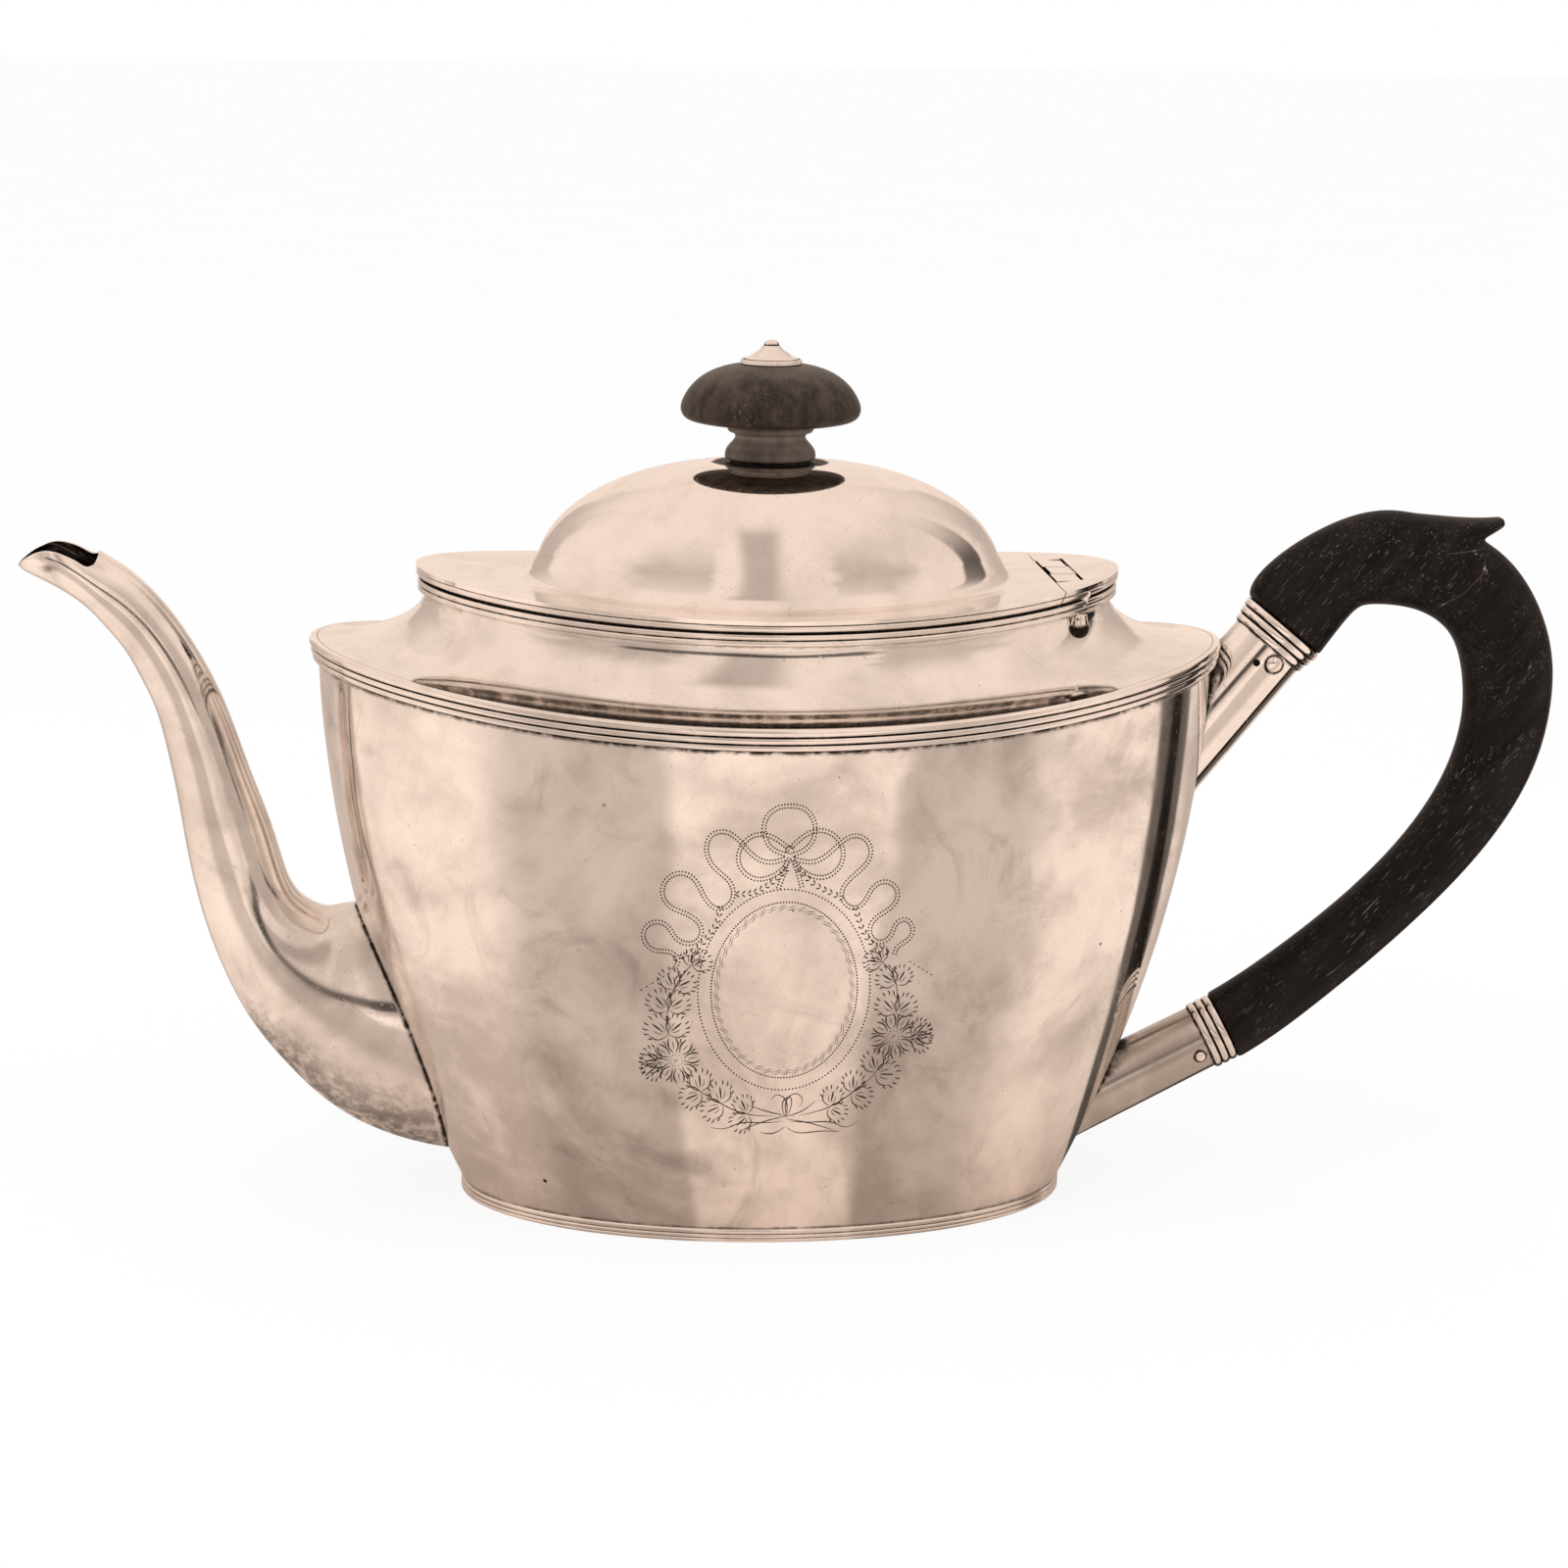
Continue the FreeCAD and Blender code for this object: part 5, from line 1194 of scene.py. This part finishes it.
class HandleMarks(Engraving):
    """Small marks on the handle's near side."""

    def __init__(self, wood):
        super().__init__()
        self.surface = BVHTree.FromPolygons([vertex.co for vertex in wood.data.vertices],
                                            [face.vertices for face in wood.data.polygons])

    def corner(self, right, above, lift):
        spot, out, _, _ = self.surface.ray_cast(Vector((right, IN_FRONT, above)) * MM, Vector((0, 1, 0)))
        self.points.append(spot / MM + out * lift)
        return len(self.points) - 1


def split_wood():
    """The split, and chips that are scattered round its bend."""
    work = HandleMarks(handle())
    for line in SPLIT_LINES:
        work.cut(line, SPLIT_WIDTH, 0.5)
    for chip in range(CHIPS):
        place = (CHIP_MIDDLE[0] + CHIP_SPREAD[0] * math.sin(3.1 * chip),
                 CHIP_MIDDLE[1] + CHIP_SPREAD[1] * math.sin(2.3 * chip + 1))
        work.ray(place, 1.1 * chip, 0.0, CHIP_LENGTH + CHIP_GROWTH * (chip % 6), CHIP_WIDTH, 0.5, CHIP_BEND)
    mesh_piece("handle_split", work.points, work.faces, "pot", SPLIT_WOOD, slot="dark_wood", sharp=180)


split_wood()


# Knob and its silver cap, as (radius, height) points

KNOB_COLUMNS, CAP_COLUMNS = 128, 320


def turned_line(points, spacing=0.25):
    return [tuple(point) for point in smooth_line(points, spacing)]


def raised(profile, level):
    return [(radius, level + height) for radius, height in profile]


STEM = turned_line([(7.1, 0.0), (7.2, 0.4), (7.85, 0.65), (8.0, 1.3), (7.8, 2.2), (7.1, 3.2), (6.4, 4.0),
                    (6.2, 4.6), (6.6, 5.15)])
BEAD = turned_line([(7.3, 5.35), (7.6, 5.8), (7.5, 6.4)])
CROWN = turned_line([(7.2, 6.62), (10.6, 6.78), (13.6, 7.2), (15.2, 7.9), (15.8, 9.0), (15.35, 11.2),
                     (13.8, 13.5), (11.6, 15.3), (8.9, 16.5), (6.6, 17.05), (5.4, 17.2)])
# How pale the stem is at each height: worn wood, and painted light reflected up on to it from the lid
STEM_PALE = ((0.0, 0.0), (0.45, 0.0), (0.75, 0.45), (2.2, 0.35), (3.1, 0.9), (4.6, 1.0), (5.2, 0.6))
BEAD_PALE, CROWN_PALE, CROWN_PALE_START, CROWN_PALE_RISE = 0.6, 0.10, 12, 5
KNOB_PALE = [np.interp(height, *zip(*STEM_PALE)) for _, height in STEM] + [BEAD_PALE] * len(BEAD)
KNOB_PALE += [CROWN_PALE * max(0.0, (height - CROWN_PALE_START) / CROWN_PALE_RISE) for _, height in CROWN]
bodies_piece("wood_knob", [turned(raised(STEM + BEAD + CROWN, SEAT_TOP), KNOB_COLUMNS)], "lid", KNOB_WOOD,
             replaced=["knob"], slot="dark_wood", sharp=50, grime=np.repeat(KNOB_PALE, KNOB_COLUMNS))

EDGE = [(FINIAL_RADIUS - 0.2, 0.02), (FINIAL_RADIUS, 0.15), (FINIAL_RADIUS, FINIAL_EDGE - 0.15),
        (FINIAL_RADIUS - 0.2, FINIAL_EDGE), (4.85, 0.88)]
CONE = turned_line([(4.75, 0.95), (3.95, 1.35), (2.9, 2.05), (1.9, 2.75), (1.45, 3.25)], 0.15)
TIP = [(1.32, 3.28), (1.36, 3.45), (1.25, 3.8), (0.85, 4.06), (0.35, 4.18)]
# Tarnish and painted shade in the corners of the cap's edge and neck
CAP_GRIME_AND_SHADE = [0.9, 0.1, 0.1, 0.2, 1.0] + [0.9] + [0.0] * (len(CONE) - 2) + [0.6, 1.0, 0.5, 0.0, 0.0, 0.0]
MILLED_NICKS, NICK_DEPTH, MILLED_ROWS = 64, 0.012, (1, 2)


def milled(row, turns):
    """Nicks round the cap's edge."""
    if row not in MILLED_ROWS:
        return np.ones_like(turns)
    return 1 - NICK_DEPTH * np.maximum(0, np.cos(MILLED_NICKS * turns)) ** 2


bodies_piece("finial_nut_cap", [turned(raised(EDGE + CONE + TIP, KNOB_TOP), CAP_COLUMNS, milled)], "lid",
             WIRE_SILVER, replaced=["finial_cap"], grime=np.repeat(CAP_GRIME_AND_SHADE, CAP_COLUMNS))


# Hinge: knuckles filed flat on top, flush with the lid and its leaf

HINGE_Z = HINGE_TOP - KNUCKLE_RADIUS
SOLDER_LINE, BARREL_INSET = 0.12, 2.2
KNUCKLE_TURNS = np.radians(np.linspace(0, -180, 33))


def knuckles(name, node, body, side, spans):
    """Barrels of half the hinge; side is +1 for the half on the leaf, and a span is two ends and a top."""
    joint = SEAM_REACH - SOLDER_LINE
    barrel = [(KNUCKLE_RADIUS * math.cos(turn), KNUCKLE_RADIUS * math.sin(turn)) for turn in KNUCKLE_TURNS]
    bodies = []
    for *ends, top in spans:
        outline = [(-joint, top), (KNUCKLE_RADIUS, top), *barrel, (-joint, top - SHEET)]
        bodies.append([[(HINGE_X - side * out, end, HINGE_Z + up) for out, up in outline] for end in ends])
    bodies_piece(name, bodies, body, LID_SILVER, replaced=[node], sharp=25)


UNDER_LEAF = KNUCKLE_RADIUS - SHEET - SEAM
BARREL_END = LID_HALF_WIDTH * math.sqrt(1 - (HINGE_X / LID_HALF_LENGTH) ** 2) - BARREL_INSET
knuckles("leaf_barrels", "pot_knuckles", "pot", 1, (
    (-HALF_KNUCKLE, HALF_KNUCKLE, KNUCKLE_RADIUS), (OUTER_KNUCKLE, BARREL_END, UNDER_LEAF),
    (-BARREL_END, -OUTER_KNUCKLE, UNDER_LEAF)))
knuckles("lid_barrels", "lid_knuckles", "lid", -1, (
    (INNER_KNUCKLE, INNER_KNUCKLE + KNUCKLE_LENGTH, KNUCKLE_RADIUS),
    (-INNER_KNUCKLE - KNUCKLE_LENGTH, -INNER_KNUCKLE, KNUCKLE_RADIUS)))

ROD_RADIUS, ROD_EASE, ROD_COLUMNS = 0.8, 0.2, 32
ROD_HALF = BARREL_END - ROD_EASE
ROD_LINE = [(ROD_RADIUS - ROD_EASE, -ROD_HALF), (ROD_RADIUS, ROD_EASE - ROD_HALF),
            (ROD_RADIUS, ROD_HALF - ROD_EASE), (ROD_RADIUS - ROD_EASE, ROD_HALF)]
bodies_piece("hinge_rod", [across_pot(turned(ROD_LINE, ROD_COLUMNS)) + np.array([HINGE_X, 0, HINGE_Z])],
             "pot", PIN_SILVER, replaced=["hinge_pin"])

# Drops under the ends of the hinge, bright on top and darkened below with painted shade
DROP_LINE = [(0.9, 1.9), (1.5, 1.7), (1.7, 0.9), (1.95, 0.0), (2.05, -0.8), (1.8, -1.6), (1.2, -2.2),
             (0.4, -2.45)]
DROP_COLUMNS, DROP_FLATNESS, DROP_OUT, DROP_DOWN = 40, 0.75, 0.7, 1.85
DROP_SHADE, DROP_DARKENING = 0.5, 1.1


def hinge_drops():
    below = NECK_HEIGHT + float(lid_sag(HINGE_X)) - 4 * RIM_REED - DROP_DOWN
    reach = NECK_HALF_WIDTH * math.sqrt(1 - (HINGE_X / NECK_HALF_LENGTH) ** 2)
    line = smooth_line(DROP_LINE, 0.15)
    drop = turned(line, DROP_COLUMNS)
    bodies = []
    for side in (-1, 1):
        out = np.array([HINGE_X / NECK_HALF_LENGTH ** 2, side * reach / NECK_HALF_WIDTH ** 2, 0])
        out /= np.linalg.norm(out)
        along = np.array([-out[1], out[0], 0])
        middle = np.array([HINGE_X, side * reach, below]) + DROP_OUT * out
        bodies.append(middle + drop[..., :1] * along + DROP_FLATNESS * drop[..., 1:2] * out
                      + drop[..., 2:] * np.array([0, 0, 1]))
    # Painted shade: darker towards the bottom of each drop
    dirt_and_shade = np.repeat(np.clip(DROP_SHADE - DROP_DARKENING * line[:, 1], 0, 1), DROP_COLUMNS)
    bodies_piece("hinge_drops", bodies, "pot", WIRE_SILVER, replaced=["hinge_lugs"],
                 grime=np.tile(dirt_and_shade, len(bodies)))


hinge_drops()


# Solids that stay as they are

for node, finish in (("base_plate", INNER_SILVER), ("lid_bezel", WIRE_SILVER), ("finial_bolt", INNER_SILVER),
                     ("finial_washer", INNER_SILVER), ("finial_nut", WIRE_SILVER)):
    shown = frame["nodes"][node].data
    shown.materials.clear()
    shown.materials.append(finish)


# Stage, light and camera

def studio_level(n, vector):
    """Brightness of the surroundings that the metal mirrors.

    It is bright ahead and at the sides and dimmer between, with a dark curtain behind the handle.
    """
    level_part = n.add("VectorMath", 0, {"operation": "MULTIPLY"}, i0=vector, i1=(1, 1, 0))
    aim = n.add("VectorMath", 0, {"operation": "NORMALIZE"}, i0=level_part)
    sideways, away = n.add("SeparateXYZ", (0, 1), Vector=aim)
    curtain = n.band(away, 0.06, 0.10) * n.band(away, 0.46, 0.42) * n.band(sideways, 0.0, 0.1)
    sideways = sideways + (n.noise(vector, 5.0, 2) - 0.5) * 0.30
    ahead = n.band(n.from_middle(sideways, 0.04), 0.40, 0.34)
    beside = n.band(n.from_middle(sideways, 0.0), 0.74, 0.93)
    return (n.highest(ahead, beside) * 0.34 + 0.62) * (1.0 - curtain * 0.85)


WHITE = (1, 1, 1, 1)
# Warm tone of all that the metal mirrors
MIRRORED_TONE = (0.98, 0.805, 0.695, 1)
FLOOR_HALF, FLOOR_GLOW = 12.0, 0.86


def floor():
    """White paper; what the metal mirrors of it is shaded and toned like the rest of the studio."""
    material, n = new_material("floor_paper")
    seen, glossy = n.add("LightPath", ("Is Camera Ray", "Is Glossy Ray"))
    place = n.place()
    grain = n.band(n.noise(place, 9, 3), 0.3, 0.7, 0.94, 0.97)
    shade = grain * (1.0 - glossy) + studio_level(n, place) * grain * glossy
    tone = n.mix(glossy, WHITE, MIRRORED_TONE)
    colour = n.add("VectorMath", 0, {"operation": "SCALE"}, i0=tone, Scale=shade)
    paper = n.add("BsdfDiffuse", 0, Color=colour)
    glow = n.add("Emission", 0, Color=WHITE, Strength=1.0)
    n.add("OutputMaterial", None, Surface=n.add("MixShader", 0, i0=seen * FLOOR_GLOW, i1=paper, i2=glow))
    mesh = bpy.data.meshes.new("floor")
    corners = [(x * FLOOR_HALF, y * FLOOR_HALF, 0) for x, y in ((-1, -1), (1, -1), (1, 1), (-1, 1))]
    mesh.from_pydata(corners, [], [(0, 1, 2, 3)])
    mesh.materials.append(material)
    new_object("floor", mesh)


floor()


def world():
    """White studio: plain white to the camera.

    The metal mirrors the dim outline of a viewer and the dark edge of a table in front.
    """
    sky = bpy.data.worlds.new("studio")
    sky.use_nodes = True
    bpy.context.scene.world = sky
    n = Nodes(sky.node_tree)
    seen, glossy = n.add("LightPath", ("Is Camera Ray", "Is Glossy Ray"))
    aim = n.add("TexCoord", "Generated")
    x, y, z = n.add("SeparateXYZ", (0, 1, 2), Vector=aim)
    front = n.band(y, 0.10, -0.30)
    viewer = front * n.band(n.from_middle(x, -0.03), 0.16, 0.06) * n.band(z, 0.95, 0.80)
    edge = n.band(z, 0.02, 0.05) * n.band(z, 0.16, 0.12)
    table = edge * n.band(n.from_middle(x, -0.06), 0.52, 0.42) * front
    level = studio_level(n, aim)
    level = level + n.band(z, 0.25, 0.85) * (0.95 - level)
    level = level * (1.0 - viewer * 0.40) * (1.0 - table * 0.85)
    light = n.add("Background", 0, Color=n.mix(glossy, WHITE, MIRRORED_TONE), Strength=n.highest(level, seen))
    n.add("OutputWorld", None, Surface=light)


world()


LAMP_AIM = Vector((0, 0, 0.06))


def softbox(name, place, size, power):
    """Lamp that shines on the middle of the pot and isn't mirrored."""
    lamp = bpy.data.lights.new(name, "AREA")
    lamp.shape = "RECTANGLE"
    lamp.size, lamp.size_y = size
    lamp.energy = power
    holder = new_object(name, lamp)
    holder.location = place
    holder.rotation_euler = (LAMP_AIM - Vector(place)).to_track_quat("-Z", "Y").to_euler()
    holder.visible_glossy = False


softbox("key_softbox", (-0.9, -0.7, 1.1), (0.9, 0.9), 6.0)
softbox("fill_softbox", (1.0, -0.5, 0.9), (0.7, 0.9), 3.0)

# Place of the camera from a fit to the photo's ovals, in a frame turned from the pot's by CAMERA_YAW
CAMERA_DISTANCE, CAMERA_HEIGHT = 666.45, 211.86
CAMERA_YAW, CAMERA_PAN = math.radians(4.524), math.radians(0.281)
CAMERA_PITCH, CAMERA_ROLL = math.radians(11.665), math.radians(-0.823)
FOCAL_PIXELS, PICTURE_PIXELS = 3874.75, 1600


def camera():
    data = bpy.data.cameras.new("camera")
    data.sensor_width = 36.0
    data.lens = FOCAL_PIXELS / PICTURE_PIXELS * data.sensor_width
    data.dof.use_dof = False
    holder = new_object("camera", data)
    place = Matrix.Translation(Vector((0, -CAMERA_DISTANCE, CAMERA_HEIGHT)) * MM)
    turn = Matrix.Rotation
    holder.matrix_world = (turn(-CAMERA_YAW, 4, "Z") @ place @ turn(-CAMERA_PAN, 4, "Z")
                           @ turn(math.pi / 2 - CAMERA_PITCH, 4, "X") @ turn(-CAMERA_ROLL, 4, "Z"))
    bpy.context.scene.camera = holder


camera()
bpy.context.scene.view_settings.view_transform = "Standard"
